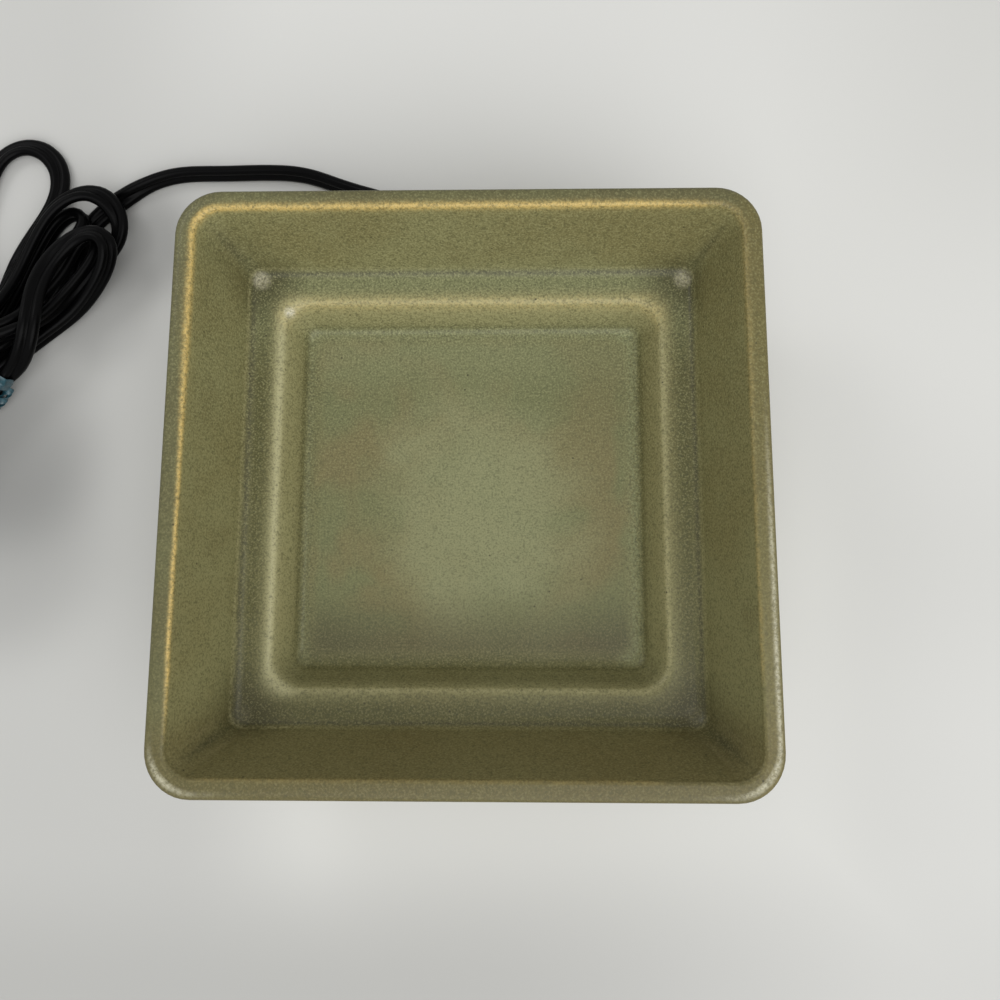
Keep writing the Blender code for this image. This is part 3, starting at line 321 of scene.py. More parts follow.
wide_fold = [
    (-150.6, 68.6, 4, -30), (-146.4, 78.5, 3.2, -60), (-141.6, 87.4, 2.6, -73),
    (-137.8, 95.5, 2.4, -76), (-136.2, 103.8, 2.4, -84), (-139.4, 112.2, 2.4, -100),
    (-147.8, 116.5, 2.6, -117), (-156, 112.4, 2.6, -117), (-160, 102.6, 2.6, -105),
    (-161.4, 92, 2.8, -95), (-160.8, 80.1, 4.5, -70), (-158.1, 66.3, 7.5, -30),
]
round_fold = [
    (-147.4, 58.6, 9.9, -20), (-144.3, 70.7, 9.7, -40), (-139.6, 81.9, 9.7, -42),
    (-133.2, 91.3, 9.7, -44), (-126.2, 96.2, 9.7, -50), (-122, 97, 9.7, -62),
    (-118.4, 95.4, 9.7, -82), (-114.4, 88.4, 9.5, -115), (-116.4, 80.4, 9, -130),
    (-122.2, 72, 8, -150), (-129.4, 63, 8, -170), (-136.4, 54.2, 9.2, -180),
]
low_fold = [
    (-149, 54.5, 3.4, 0), (-146.4, 64.4, 3.3, 0), (-143.2, 73.8, 3.3, 0),
    (-140.8, 80.6, 3.4, 0), (-138, 86, 3.6, 0), (-134.6, 90.2, 4.2, 0),
    (-130.5, 92, 5, 0), (-126.5, 91.5, 5.9, 0), (-124.4, 88.8, 6.5, 0),
    (-126, 84.6, 6.7, 0), (-130, 80.9, 6.5, 0), (-133.4, 76, 6, 0),
    (-136.9, 69.6, 5, 0), (-140.6, 60.6, 4, 0), (-144.2, 52, 3.5, 0),
]
inner_fold = [
    (-143.6, 50.6, 16, -20), (-137, 58.2, 13.6, -40), (-132.4, 65.4, 11.8, -45),
    (-128.2, 72, 10.6, -45), (-125.8, 77.6, 10, -45), (-123.6, 81.6, 9.8, -45),
    (-120.2, 83.4, 9.8, -45), (-117.2, 81.8, 9.8, -45), (-117.6, 77, 9.8, -40),
    (-121.2, 70, 9.8, -30), (-126.4, 62.2, 10.2, -15), (-132.6, 54.4, 12.4, 0),
]
top_fold = [
    (-136.5, 51, 9.5, 0), (-129.4, 57.4, 9.5, 0), (-121.4, 65, 10.6, 10),
    (-115.2, 72.6, 13.4, 20), (-113.9, 79, 15.6, 40), (-116.7, 81.4, 15.8, 50),
    (-120.8, 81, 15.8, 55), (-125.6, 78, 16, 75), (-130.7, 71, 17, 95),
    (-133.3, 63, 18.2, 100), (-134.4, 54.4, 18.6, 100), (-135.8, 47.8, 17.2, 110),
    (-139, 42, 14, 140), at_waist(0, 8.8, 9.5, 180),
]
to_switch = [
    at_waist(12, 6.4, 12.5, 180), at_waist(26, 0.5, 18.5, 180), at_waist(41, -7, 21.6, 180),
    at_hank(-60, 16.5, 19.5, 180), at_hank(-70, 20, 13.5, 170), at_hank(-75, 28, 7, 140),
    at_hank(-72.5, 37.5, 3.8, 110), at_hank(-65, 42.5, 2.6, 90), at_hank(-56, 44, 4.4, 90),
    at_hank(-47.9, 44, 7.6, 90), at_hank(-42.3, 44, 7.6, 90),
]
cord_route = [
    *from_base, at_waist(0, -1.65, 3.6), *far_fold(-3.5, 8, 48, (3.5, 3.3, 3.5)),
    at_waist(0, -4.95, 3.6), *wide_fold, at_waist(0, -4.95, 10),
    *far_fold(-1, -13, 52, (6, 3.3, 3.5)), at_waist(0, 1.65, 3.6), *low_fold,
    at_waist(0, 4.95, 3.6), *far_fold(2.5, 12, 52, (3.5, 7.5, 10)), at_waist(0, -1.65, 10),
    *round_fold, at_waist(0, 1.65, 10, -180),
    *far_fold(-1.5, 9, 48, (10, 13.5, 16), (-180, -180, -180)), at_waist(0, -3.3, 16.4, -180),
    *turned(inner_fold), at_waist(0, 0, 16.4, -180),
    *far_fold(4.5, -9.5, 50, (16.4, 15.7, 12), (-180, -180, -180)), at_waist(0, 4.95, 10, -180),
    *turned(top_fold), *turned(to_switch),
]
switch_route = [
    at_hank(20.3, 44, 7.6, 90), at_hank(26, 44, 7.2, 90), at_hank(34, 46, 4.4, 70),
    at_hank(40.5, 51.5, 3.5, 30), at_hank(43, 58.5, 3.3, 0), at_hank(39.5, 66.5, 3.4, -30),
    at_hank(31, 71, 4, -60), at_hank(20, 72, 5.6, -90), at_hank(12.3, 72, 6.9, -90),
]


def between(first, last, knot, next_knot, t):
    """The point that lies between two points as t lies between their knots."""
    return (first * (next_knot - t) + last * (t - knot)) / (next_knot - knot)


def smooth_line(points, pitch, samples=16):
    """A smooth curve through the points, at an even pitch. Columns after the third follow."""
    corners = np.array(points, float)
    corners = np.vstack([2 * corners[0] - corners[1], corners, 2 * corners[-1] - corners[-2]])
    pieces = []
    for four in zip(corners, corners[1:], corners[2:], corners[3:]):
        k = [0.0]
        for here, after in zip(four, four[1:]):
            k.append(k[-1] + math.sqrt(np.linalg.norm(after[:3] - here[:3])))
        t = np.linspace(k[1], k[2], samples, endpoint=False)[:, None]
        first = [between(four[i], four[i + 1], k[i], k[i + 1], t) for i in range(3)]
        second = [between(first[i], first[i + 1], k[i], k[i + 2], t) for i in range(2)]
        pieces.append(between(second[0], second[1], k[1], k[2], t))
    pieces.append(corners[-2][None])
    return even_line(np.vstack(pieces), pitch)


def even_line(line, pitch):
    """The same line through points that are about one pitch apart."""
    run = np.concatenate([[0], np.cumsum(np.linalg.norm(np.diff(line[:, :3], axis=0), axis=1))])
    count = int(round(run[-1] / pitch))
    stations = np.linspace(0, run[-1], count + 1)
    return np.stack([np.interp(stations, run, line[:, i]) for i in range(line.shape[1])], 1)


def second_difference(values):
    """How far each value lies from its neighbours' mean, 0 at the ends."""
    bend = np.zeros_like(values)
    bend[1:-1] = (values[:-2] + values[2:]) / 2 - values[1:-1]
    return bend


def without_kinks(line, rounds=30):
    """The line with its kinks smoothed and its ends kept.

    Each round's second share takes back the shrinking from its first.
    """
    rest = line.copy()
    for _ in range(rounds):
        for share in (0.5, -0.52):
            rest[:, :3] += share * second_difference(rest[:, :3])
            rest[:2] = line[:2]
            rest[-3:] = line[-3:]
    return rest


def settle(line, rounds, apart=7):
    """Moves the cord's strands apart where they lie in each other, and off the table.

    Points that are less than so many steps apart along the cord may touch.
    """
    rest = without_kinks(line)
    lean = np.radians(rest[:, 3])
    wide = LOBE * (1 + np.abs(np.sin(lean)))
    tall = LOBE * (1 + np.abs(np.cos(lean)))
    count = len(rest)
    first, second = np.triu_indices(count, apart)
    close = np.linalg.norm(rest[first, :2] - rest[second, :2], axis=1) < OUT_OF_REACH
    first, second = first[close], second[close]
    reach = wide[first] + wide[second] + STRAND_GAP
    rise = tall[first] + tall[second] + STRAND_GAP
    room = np.stack([reach, reach, rise], 1)
    moved = np.zeros((count, 3))
    for _ in range(rounds):
        place = rest[:, :3] + moved
        step = place[first] - place[second]
        flat = np.hypot(step[:, 0], step[:, 1]) / reach
        high = np.abs(step[:, 2]) / rise
        far = (flat ** 3 + high ** 3) ** (1 / 3)
        hit = far < 1
        way = step[hit] / room[hit]
        way /= np.maximum(np.linalg.norm(way, axis=1), 1e-9)[:, None]
        push = (1 - far[hit])[:, None] * way
        push *= room[hit] * 0.5
        total = np.zeros((count, 3))
        hits = np.zeros(count)
        for ends, share in ((first[hit], push), (second[hit], -push)):
            np.add.at(total, ends, share)
            np.add.at(hits, ends, 1)
        # A little over the mean push, then smoothing, and a slight pull back to the route.
        moved += 1.3 * total / np.maximum(hits, 1)[:, None]
        for _ in range(2):
            moved -= 0.4 * second_difference(second_difference(moved))
        moved *= 0.999
        moved[:, 2] += np.maximum(0, tall + TABLE_GAP - (rest[:, 2] + moved[:, 2]))
        moved[:3] = 0
        moved[-4:] = 0
    rest[:, :3] += moved
    return rest


def sweep_cord(name, line, sides=11):
    """The two-lobed section carried along the line, leaning as its fourth column says."""
    place = line[:, :3] * MM
    way = np.gradient(place, axis=0)
    way /= np.linalg.norm(way, axis=1)[:, None]
    left = np.cross((0, 0, 1), way)
    left /= np.linalg.norm(left, axis=1)[:, None]
    up = np.cross(way, left)
    lean = np.radians(line[:, 3])[:, None]
    broad = up * np.cos(lean) + left * np.sin(lean)
    thin = np.cross(way, broad)
    outline = []
    for centre, facing in ((1, 0), (-1, 180)):
        for k in range(sides):
            angle = math.radians(facing - LOBE_ARC / 2 + LOBE_ARC * k / (sides - 1))
            outline.append((centre + math.cos(angle), math.sin(angle)))
    outline = np.array(outline) * LOBE * MM
    rings = [place + broad * a + thin * b for a, b in outline]
    vertices = np.stack(rings, 1)
    count, around = vertices.shape[:2]
    mesh = bpy.data.meshes.new(name)
    faces = []
    for ring in range(0, (count - 1) * around, around):
        after = ring + around
        for j in range(around):
            k = (j + 1) % around
            faces.append((ring + j, ring + k, after + k, after + j))
    faces.append(tuple(range(around))[::-1])
    faces.append(tuple((count - 1) * around + j for j in range(around)))
    mesh.from_pydata(vertices.reshape(-1, 3).tolist(), [], faces)
    cord = bpy.data.objects.new(name, mesh)
    bpy.context.scene.collection.objects.link(cord)
    bm = bmesh.new()
    bm.from_mesh(mesh)
    bmesh.ops.recalc_face_normals(bm, faces=bm.faces)
    bm.to_mesh(mesh)
    bm.free()
    mesh.shade_smooth()
    mesh.set_sharp_from_angle(angle=math.radians(50))
    return cord


laid = settle(smooth_line(cord_route, pitch=2.4), rounds=300)
laid = smooth_line(laid, pitch=1.5)
to_plug = smooth_line(switch_route, pitch=1.5)
mains_cord = sweep_cord("mains_cord", laid)
plug_cord = sweep_cord("plug_cord", to_plug)

cord_rubber = Finish("cord_rubber", specular_ior_level=0.06)
cord_grain = cord_rubber.noise(0.5, 3, 0.6)
cord_rubber.paint(
    base_color=cord_rubber.mix(cord_rubber.noise(9, 3), rgb(2, 2, 2), rgb(7, 7, 8)),
    roughness=0.25 + 0.12 * cord_rubber.noise(4, 3), normal=cord_rubber.bump(cord_grain, 0.03),
)
for cord, solids in (
    (mains_cord, ["cord_front", "cord_hank", "cord_to_switch"]),
    (plug_cord, ["cord_to_plug"]),
):
    dress(cord, cord_rubber, "base")
    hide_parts(*solids)
laid[:, :3] * MM

# The twist tie

# The tie's section across the strap, as (back, proud): a flat film with a wire along its
# middle. Its tail is two such strips, given by their half width and half thickness, and it
# leaves the strap at about a level.
TIE_SECTION = (
    (-2, 0), (-0.6, 0), (-0.35, 0.28), (0.35, 0.28), (0.6, 0), (2, 0), (2, -0.22), (-2, -0.22),
)
TAIL_STRIP = (1.3, 0.42)
TAIL_LEVEL = 6
# How far from the waist's middle the strap holds strands, along the hank and across it.
HELD = (2.4, 14)


def strap_round_waist(line, proud, steps=56):
    """The smooth outline (right, up) of a tight strap round the strands at the waist."""
    offset = line[:, :2] - np.array(WAIST)
    right = offset @ across_hank
    inside = (np.abs(offset @ along_hank) < HELD[0]) & (np.abs(right) < HELD[1])
    angles = np.linspace(0, 2 * math.pi, steps, endpoint=False)
    ways = np.stack([np.cos(angles), np.sin(angles)], 1)
    lean = np.radians(line[inside, 3])
    right, up = right[inside], line[inside, 2]
    centres = np.vstack([
        np.stack([right - lobe * np.sin(lean), up + lobe * np.cos(lean)], 1)
        for lobe in (-LOBE, LOBE)
    ])
    reach = (centres @ ways.T).max(0) + LOBE + proud
    outline = []
    for k in range(steps):
        after = (k + 1) % steps
        pair = np.array([ways[k], ways[after]])
        outline.append(np.linalg.solve(pair, [reach[k], reach[after]]))
    outline = np.array(outline)
    for _ in range(3):
        outline = (np.roll(outline, 1, 0) + 2 * outline + np.roll(outline, -1, 0)) / 4
    outline[:, 1] = np.maximum(outline[:, 1], TABLE_GAP + 0.25)
    return outline


def tie_point(back, right, up):
    return Vector([v * MM for v in at_waist(back, right, up)[:3]])


def skin(bm, rings, after_rings):
    """Joins each ring of vertices to the one after it with faces."""
    for ring, after in zip(rings, after_rings):
        for j in range(len(ring)):
            m = (j + 1) % len(ring)
            bm.faces.new((ring[j], ring[m], after[m], after[j]))


def twist_tail(bm, root_right, root_up, steps=28, sides=8):
    """The tie's two ends, twisted round each other and lying back beside the hank.

    They run 9 mm back and 3.4 mm down in 1.2 turns, and bend in towards the hank.
    """
    up, right = Vector((0, 0, 1)), Vector((*across_hank, 0))
    half_wide, half_thin = TAIL_STRIP
    for first_turn in (0, math.pi):
        rings = []
        for k in range(steps + 1):
            t = k / steps
            turn = first_turn + 2.4 * math.pi * t
            wide = up * math.cos(turn) - right * math.sin(turn)
            thin = up * math.sin(turn) + right * math.cos(turn)
            middle = tie_point(0.6 + 9 * t, root_right + 0.2 - 1.6 * t * t, root_up - 3.4 * t)
            middle = middle + thin * (0.8 * (1 - 0.25 * t)) * MM
            ring = []
            for j in range(sides):
                a = 2 * math.pi * j / sides
                across = wide * math.cos(a) * half_wide * MM
                through = thin * math.sin(a) * half_thin * MM
                ring.append(bm.verts.new(middle + across + through))
            rings.append(ring)
        skin(bm, rings, rings[1:])
        bm.faces.new(rings[0])
        bm.faces.new(rings[-1])


def wrap_tie():
    """The flat plastic-coated tie: a strap round the waist, and its twisted tail."""
    outline = strap_round_waist(laid, proud=0.45)
    piece = start(
        "twist_tie", "circle", vertices=len(TIE_SECTION), radius=0.001, fill_type="NOTHING",
    )
    bpy.ops.mesh.delete(type="VERT")
    bm = bmesh.from_edit_mesh(piece.data)
    rings = []
    for k, (right, up) in enumerate(outline):
        ahead = outline[(k + 1) % len(outline)] - outline[k - 1]
        normal = np.array([ahead[1], -ahead[0]]) / np.linalg.norm(ahead)
        sway = 0.5 * math.sin(4 * math.pi * k / len(outline))
        ring = []
        for back, proud in TIE_SECTION:
            spot = np.array([right, up]) + normal * proud
            ring.append(bm.verts.new(tie_point(back + sway, spot[0], max(spot[1], 0.12))))
        rings.append(ring)
    skin(bm, rings, [*rings[1:], rings[0]])
    flank = outline[outline[:, 0] > outline[:, 0].mean()]
    twist_tail(bm, *flank[int(np.argmin(np.abs(flank[:, 1] - TAIL_LEVEL)))])
    bmesh.update_edit_mesh(piece.data)
    bpy.ops.mesh.select_all(action="SELECT")
    bpy.ops.mesh.normals_make_consistent(inside=False)
    return done(piece, angle=50)


tie_film = Finish("tie_film", coat_weight=0.3, coat_roughness=0.2)
tie_crease = tie_film.noise(1.4, 4, 0.7)
tie_film.paint(
    base_color=tie_film.mix(tie_crease.rise(0.35, 0.7), rgb(24, 58, 68), rgb(46, 88, 100)),
    roughness=0.3 + 0.25 * tie_crease, normal=tie_film.bump(tie_crease, 0.12),
)
twist_tie = wrap_tie()
dress(twist_tie, tie_film, "base")
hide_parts("hank_tie")

# The glazed dish and its base

# Half widths and levels in millimetres, then each corner's rounding and its radius in plan,
# from the underside out, up and in again.
DISH_CORNERS = (
    (0, 23.2), (51.6, 23.2, 2.5, 5.9), (57.3, 32.5, 2.5, 9.4), (67, 32.5, 2.5, 9.5),
    (76.5, 62, 3.5, 11.5), (71, 62, 1.2, 6.8), (61.5, 37.3, 4, 4), (52.5, 37.3, 2.6, 7),
    (46.8, 28, 3, 3.5), (0, 28),
)
DISH_LIP = (71, 62)
BASE_CORNERS = (
    (0, 13.9), (54.2, 13.9, 1.5, 4), (54.2, 4.3, 0, 4), (60.2, 4.3, 2, 9), (60.2, 17.9, 4, 9),
    (65.2, 32.2, 1.5, 9), (59.2, 32.2, 1.5, 4), (55.7, 17.9, 2, 4), (0, 17.9),
)
BASE_LIP = (65.2, 32.2)


# The most of a straight run that the rounding at one of its ends may take up.
ROUNDED_SHARE = 0.48
# The last ring of a vessel, round the middle of its floor: its half width and its corner.
LAST_RING = (1.5, 1.4)


def rounded_outline(corners, steps, spacing):
    """Rounds a vessel's outline, and divides its straight runs to about the spacing."""
    points = []
    for before, (*middle, rounding, corner), after in zip(corners, corners[1:], corners[2:]):
        if not rounding:
            points.append((*middle, corner))
            continue
        middle = np.array(middle, float)
        back = np.array(before[:2]) - middle
        ahead = np.array(after[:2]) - middle
        long_back, long_ahead = np.linalg.norm(back), np.linalg.norm(ahead)
        opening = math.acos(float(back @ ahead) / (long_back * long_ahead))
        room = ROUNDED_SHARE * min(long_back, long_ahead)
        reach = min(rounding / math.tan(opening / 2), room)
        first = middle + back / long_back * reach
        last = middle + ahead / long_ahead * reach
        for k in range(steps + 1):
            t = k / steps
            place = (1 - t) ** 2 * first + 2 * t * (1 - t) * middle + t * t * last
            points.append((*place, corner))
    half, corner = LAST_RING
    points.append((half, corners[-1][1], corner))
    filled = [points[0]]
    for point in points[1:]:
        previous = np.array(filled[-1])
        step = np.array(point) - previous
        parts = max(1, round(float(np.linalg.norm(step[:2])) / spacing))
        for k in range(1, parts + 1):
            filled.append(tuple(previous + step * k / parts))
    return filled


def square_ring(half, corner, steps):
    """A square with round corners as (x, y) points, anticlockwise from the +X side."""
    ring = []
    for quarter, (right, back) in enumerate(((1, 1), (-1, 1), (-1, -1), (1, -1))):
        for k in range(steps + 1):
            turn = math.pi / 2 * (quarter + k / steps)
            x = right * (half - corner) + corner * math.cos(turn)
            y = back * (half - corner) + corner * math.sin(turn)
            ring.append((x, y))
    return ring


def throw_vessel(name, corners, lip, steps=10):
    """A square vessel, drawn up ring by ring from a closed circle.

    Its points carry how far they lie along the outline from the lip's corner, in millimetres,
    for the glaze to follow.
    """
    outline = rounded_outline(corners, steps=8, spacing=4)
    around = 4 * (steps + 1)
    piece = start(name, "circle", vertices=around, radius=0.01, fill_type="NGON")
    bm = bmesh.from_edit_mesh(piece.data)
    run = bm.verts.layers.float.new("run")
    parts = [math.dist(here[:2], after[:2]) for here, after in zip(outline, outline[1:])]
    lengths = np.concatenate([[0], np.cumsum(parts)])
    lengths -= lengths[int(np.argmin([math.dist(point[:2], lip) for point in outline]))]
    for level, (half, z, corner) in enumerate(outline):
        if level:
            bpy.ops.mesh.extrude_region_move()
            bm = bmesh.from_edit_mesh(piece.data)
            run = bm.verts.layers.float["run"]
        ring = [v for v in bm.verts if v.select]
        if level:
            spots = np.array([tuple(v.co) for v in ring])
            nearest = [np.argmin(((spots - np.array(place)) ** 2).sum(1)) for place in order]
            ring = [ring[int(index)] for index in nearest]
        else:
            ring.sort(key=lambda v: math.atan2(v.co.y, v.co.x) % (2 * math.pi))
        places = square_ring(half, min(corner, half * 0.99), steps)
        for vertex, (x, y) in zip(ring, places):
            vertex.co = (x * MM, y * MM, z * MM)
            vertex[run] = lengths[level]
        order = [vertex.co.copy() for vertex in ring]
        bmesh.update_edit_mesh(piece.data)
    bpy.ops.mesh.select_all(action="SELECT")
    bpy.ops.mesh.normals_make_consistent(inside=False)
    return done(piece, angle=50)


# Where the dish's parts lie along its outline, in millimetres inwards from the lip's corner,
# and across it from the middle.
WALL = 15
LEDGE_FOOT = 26.2
LEDGE = 29
WELL_EDGE = 34.7
WELL_WALL = 40
WELL_FOOT = 44
WELL_CHANNEL = 46
# Where the painted highlights lie across the dish: in the ledge's corners and on the well's edge.
LEDGE_CORNER = 58.8
WELL_EDGE_CORNER = (-51, 50)
# Beyond the end of any outline.
NOWHERE = 1000.0


class Glaze(Finish):
    """Satin olive stoneware glaze, with the masks that its tones and its painted light and shade
    share.

    Its places are in millimetres, across the piece or along throw_vessel's outline.
    """

    def __init__(self, name):
        super().__init__(name, specular_ior_level=0.3, coat_weight=0.16, coat_roughness=0.2)
        self.run = self.node("ShaderNodeAttribute", {"attribute_name": "run"}, {}, "Fac")
        self.across, self.deep = abs(self.x), abs(self.y)
        self.cornerwise = self.across.least(self.deep)
        self.apart = self.across.most(self.deep) - self.cornerwise
        # The front, left and back of the piece, where most of the painted light and shade lies.
        self.front = self.y.rise(-50, -66)
        self.left = self.x.rise(-42, -50)
        self.back = self.y.rise(42, 50)
        self.cloud = self.noise(38, 3, 0.55).rise(0.35, 0.65)
        self.patch = self.noise(14, 4, 0.6)
        self.salt = self.noise(0.55, 2, 0.7)
        self.worms = self.noise(1.1, 3, 0.65, warp=0.6)
        self.broken = self.noise(0.8, 2, 0.7).rise(0.34, 0.62)
        self.ragged = (self.patch - 0.5) * 2.2

    def walls(self, rim_to):
        """Olive, with its own tone on the rim, a dark seam where two walls meet, and painted light
        and shade on the walls.
        """
        rim = self.coats(
            self.mix(self.cloud, rgb(96, 92, 59), rgb(103, 102, 66)),
            (self.front * 0.6, rgb(94, 82, 42)),
            (self.x.rise(66, 74) * 0.6, rgb(114, 103, 56)),
        )
        # Painted light: the well's wall is paler at the left and at the back, the sides that face
        # the light.
        paler = (self.left * 1.3).most(self.y.rise(36, 48)).most(self.x.rise(42, 50) * 0.6)
        paler = paler * self.run.near(WELL_WALL, 6)
        # Painted shade: the front of the well's wall is darker.
        darker = self.y.rise(-42, -50) * self.run.near(WELL_WALL, 5)
        seam = (self.apart + (self.patch - 0.5) * 2).near(0, 1.7) * self.run.near(WALL, 9)
        beside_seam = self.apart.near(4.2, 0.9) * self.run.near(WALL, 7) * self.front
        return self.coats(
            self.mix(self.cloud, rgb(127, 121, 79), rgb(135, 132, 90)),
            (self.patch.rise(0.55, 0.75) * 0.5, rgb(116, 109, 70)),
            # Painted shade on the front wall and ledge.
            (self.front * 0.6, rgb(104, 92, 54)),
            (paler * 0.5, rgb(152, 148, 104)),
            (darker * 0.5, rgb(92, 88, 54)),
            (self.run.rise(rim_to + 3, rim_to), rim),
            (seam * (0.55 + 0.2 * self.front), rgb(80, 77, 50)),
            (beside_seam * 0.35, rgb(150, 140, 100)),
        )

    def pooled(self, channels):
        """Where the glaze lies thick: in the channels and at the foot of the seams."""
        pooled = self.apart.near(0, 4) * self.run.near(25, 6) * 0.5
        for middle, width, share in channels:
            pooled = pooled.most(self.run.near(middle, width) * share)
        return pooled

    def shaded_corners(self, colour):
        """Painted shade in the ledge's corners and along its front right, and on the walls' corners
        at the back left and front right.
        """
        ledge_corner_shade = self.x.rise(0, 45) * self.y.rise(-50, -57) * 0.3
        ledge_corner_shade = self.cornerwise.rise(43, 56).most(ledge_corner_shade) * self.run.near(28, 6)
        wall_corner_shade = self.apart.near(0, 9) * self.run.near(WALL, 9)
        wall_corner_shade = wall_corner_shade * (self.x * self.y).rise(-1600, -3600)
        return self.coats(
            colour, (ledge_corner_shade * 0.75, rgb(60, 56, 22)), (wall_corner_shade * 0.3, rgb(40, 37, 18)),
        )

    def floor(self):
        """The well's floor: clouds of brown and green, a pale middle, paler at the back, and
        painted shade across its front and in its front corners.
        """
        drift = self.noise(26, 2, 0.5, warp=0.5)
        sideways = (self.x - 2 + self.y * 0.1) / 29
        lengthways = (self.y + 8) / 42
        clouds = (self.patch - 0.5) * 1.1 + (drift - 0.5) * 1.2
        middle = (sideways ** 2 + lengthways ** 2 + clouds).rise(1.35, -0.1)
        front_corners = self.across.rise(18, 42) * self.y.rise(-26, -44)
        back_right = self.x.rise(12, 36) * self.y.rise(6, 30)
        return self.coats(
            self.mix(drift.rise(0.4, 0.62), rgb(118, 111, 73), rgb(111, 114, 76)),
            (middle * 0.9, rgb(136, 138, 100)),
            (self.y.rise(26, 40) * 0.5, rgb(132, 134, 96)),
            # Painted shade across the front of the floor and in its front corners.
            (self.y.rise(-24, -46) * 0.85, rgb(86, 82, 51)),
            (front_corners * 0.35, rgb(62, 58, 34)),
            (back_right * 0.4, rgb(104, 106, 68)),
        )

    def broken_edges(self, colour, edges):
        """Warm lines where the glaze thins over an edge, partly a break in the glaze and partly
        painted highlight, weaker in front and at the sides.
        """
        # Painted light: the share of each line kept on each side, most at the back and left, where
        # the light falls.
        side_light_share = 1 - 0.3 * self.y.rise(-44, -54) - 0.57 * self.front
        side_light_share = side_light_share - 0.15 * self.x.rise(-60, -68)
        side_light_share = side_light_share - 0.25 * self.x.rise(44, 52) - 0.58 * self.x.rise(56, 68)
        spread = 0.6 + 0.5 * self.y.rise(0, 40)
        for middle, width, share, tone in edges:
            line = (self.run + self.ragged * width * 0.35).near(middle, width * spread)
            line = line * share * side_light_share * (0.5 + 0.85 * self.broken)
            colour = self.mix(line, colour, tone)
        return colour

    def glints(self, colour):
        """Painted highlights: light lines on the well's edge, in the channel at its foot and round
        the rim.
        """
        left_edge_highlight = self.left * self.run.near(WELL_EDGE - 0.3, 1.6)
        back_edge_highlight = self.back * (self.run + self.ragged * 0.5).near(WELL_EDGE + 0.5, 2.2)
        channel = (self.left + self.back + 0.6 * self.x.rise(38, 44)).least(1)
        channel = channel * self.run.near(WELL_CHANNEL + 0.8, 1.9)
        right_rim_highlight = self.x.rise(64, 72) * self.y.rise(30, -30)
        front_corners = self.apart.near(0, 11) * self.y.rise(-56, -68)
        rim = right_rim_highlight.most(front_corners) * self.run.near(-3.4, 0.6)
        return self.coats(
            colour,
            (left_edge_highlight * 0.6, rgb(186, 182, 140)),
            (back_edge_highlight * 0.36 * (0.3 + 0.8 * self.broken), rgb(204, 180, 112)),
            (channel * 0.5 * (0.2 + 0.9 * self.broken), rgb(158, 166, 124)),
            (rim * 0.8 * (0.35 + 0.65 * self.broken), rgb(206, 202, 176)),
        )

    def creased(self, colour, creases):
        """Painted shade: dark lines in the crease at each foot, with a painted highlight above
        each, stronger on the left.
        """
        wavy = self.run + self.ragged * 0.3
        for middle, share in creases:
            light = wavy.near(middle - 1.6, 0.6) * share * (0.4 + 0.5 * self.left) * self.broken
            dark = wavy.near(middle, 0.75) * share * (0.3 + 0.7 * self.broken)
            colour = self.coats(colour, (light, rgb(152, 146, 104)), (dark, rgb(62, 60, 38)))
        return colour

    def spotted(self, colour):
        """Painted highlights: pale spots in the ledge's corners, stronger at the back, and a white
        one on the well's edge.
        """
        aside, ahead = self.across - LEDGE_CORNER, self.deep - LEDGE_CORNER
        pale = self.round_spot(aside, ahead, 2.2, 1.1, self.ragged * 0.5) * self.run.near(26, 7)
        pale = pale * (0.1 + 0.55 * self.y.rise(0, 40)) * (0.35 + 0.9 * self.broken)
        aside, ahead = self.x - WELL_EDGE_CORNER[0], self.y - WELL_EDGE_CORNER[1]
        white = self.round_spot(aside, ahead, 1.5, 1, self.ragged * 0.6) * self.run.near(34, 4)
        white = white * 0.8 * (0.4 + 0.8 * self.broken)
        return self.coats(colour, (pale, rgb(188, 182, 154)), (white, rgb(226, 222, 200)))

    def speckled(self, colour, busy):
        """Fine dark and light grains, and a few pinholes."""
        light = self.mix(self.y.rise(-40, 50), rgb(148, 142, 102), rgb(176, 174, 128))
        return self.coats(
            colour,
            (self.worms.rise(0.5, 0.34) * 0.36 * busy, rgb(62, 68, 42)),
            (self.salt.rise(0.52, 0.34) * 0.5 * busy, rgb(62, 58, 36)),
            (self.salt.rise(0.5, 0.68) * 0.46 * busy, light),
            (self.cells(7.5).rise(0.05, 0.025) * 0.8, rgb(58, 54, 34)),
        )


def glaze(name, edges, channels, creases=(), floor_from=NOWHERE, bare_under=0.0, rim_to=-NOWHERE):
    """The glaze of one vessel, bare clay under a level if one is given.

    An edge or channel is given as its place along the outline, its width and its share, and
    an edge with its colour. A crease has no width.
    """
    f = Glaze(name)
    pooled = f.pooled(channels)
    # Painted light and shade: the pooled glaze is lighter at the back and darker in front.
    pool = f.mix(f.y.rise(30, 60), rgb(87, 85, 46), rgb(124, 127, 88))
    on_floor = f.run.rise(floor_from, floor_from + 6)
    colour = f.mix(pooled * (0.75 + 0.4 * f.patch), f.walls(rim_to), pool)
    colour = f.mix(on_floor, f.shaded_corners(colour), f.floor())
    colour = f.glints(f.broken_edges(colour, edges))
    colour = f.spotted(f.creased(colour, creases))
    busy = 0.76 + 0.12 * pooled - 0.1 * on_floor - 0.2 * f.run.rise(1, -1)
    colour = f.speckled(colour, busy)
    if bare_under:
        clay = f.mix(f.worms, rgb(186, 168, 138), rgb(206, 190, 160))
        colour = f.mix((f.z + f.ragged * 0.6).rise(bare_under + 0.5, bare_under), colour, clay)
    rough = 0.44 + 0.16 * f.salt + 0.1 * f.patch
    height = f.salt * 0.5 + f.worms * 0.4 + f.patch * 1.2
    return f.paint(base_color=colour, roughness=rough, normal=f.bump(height, 0.1))


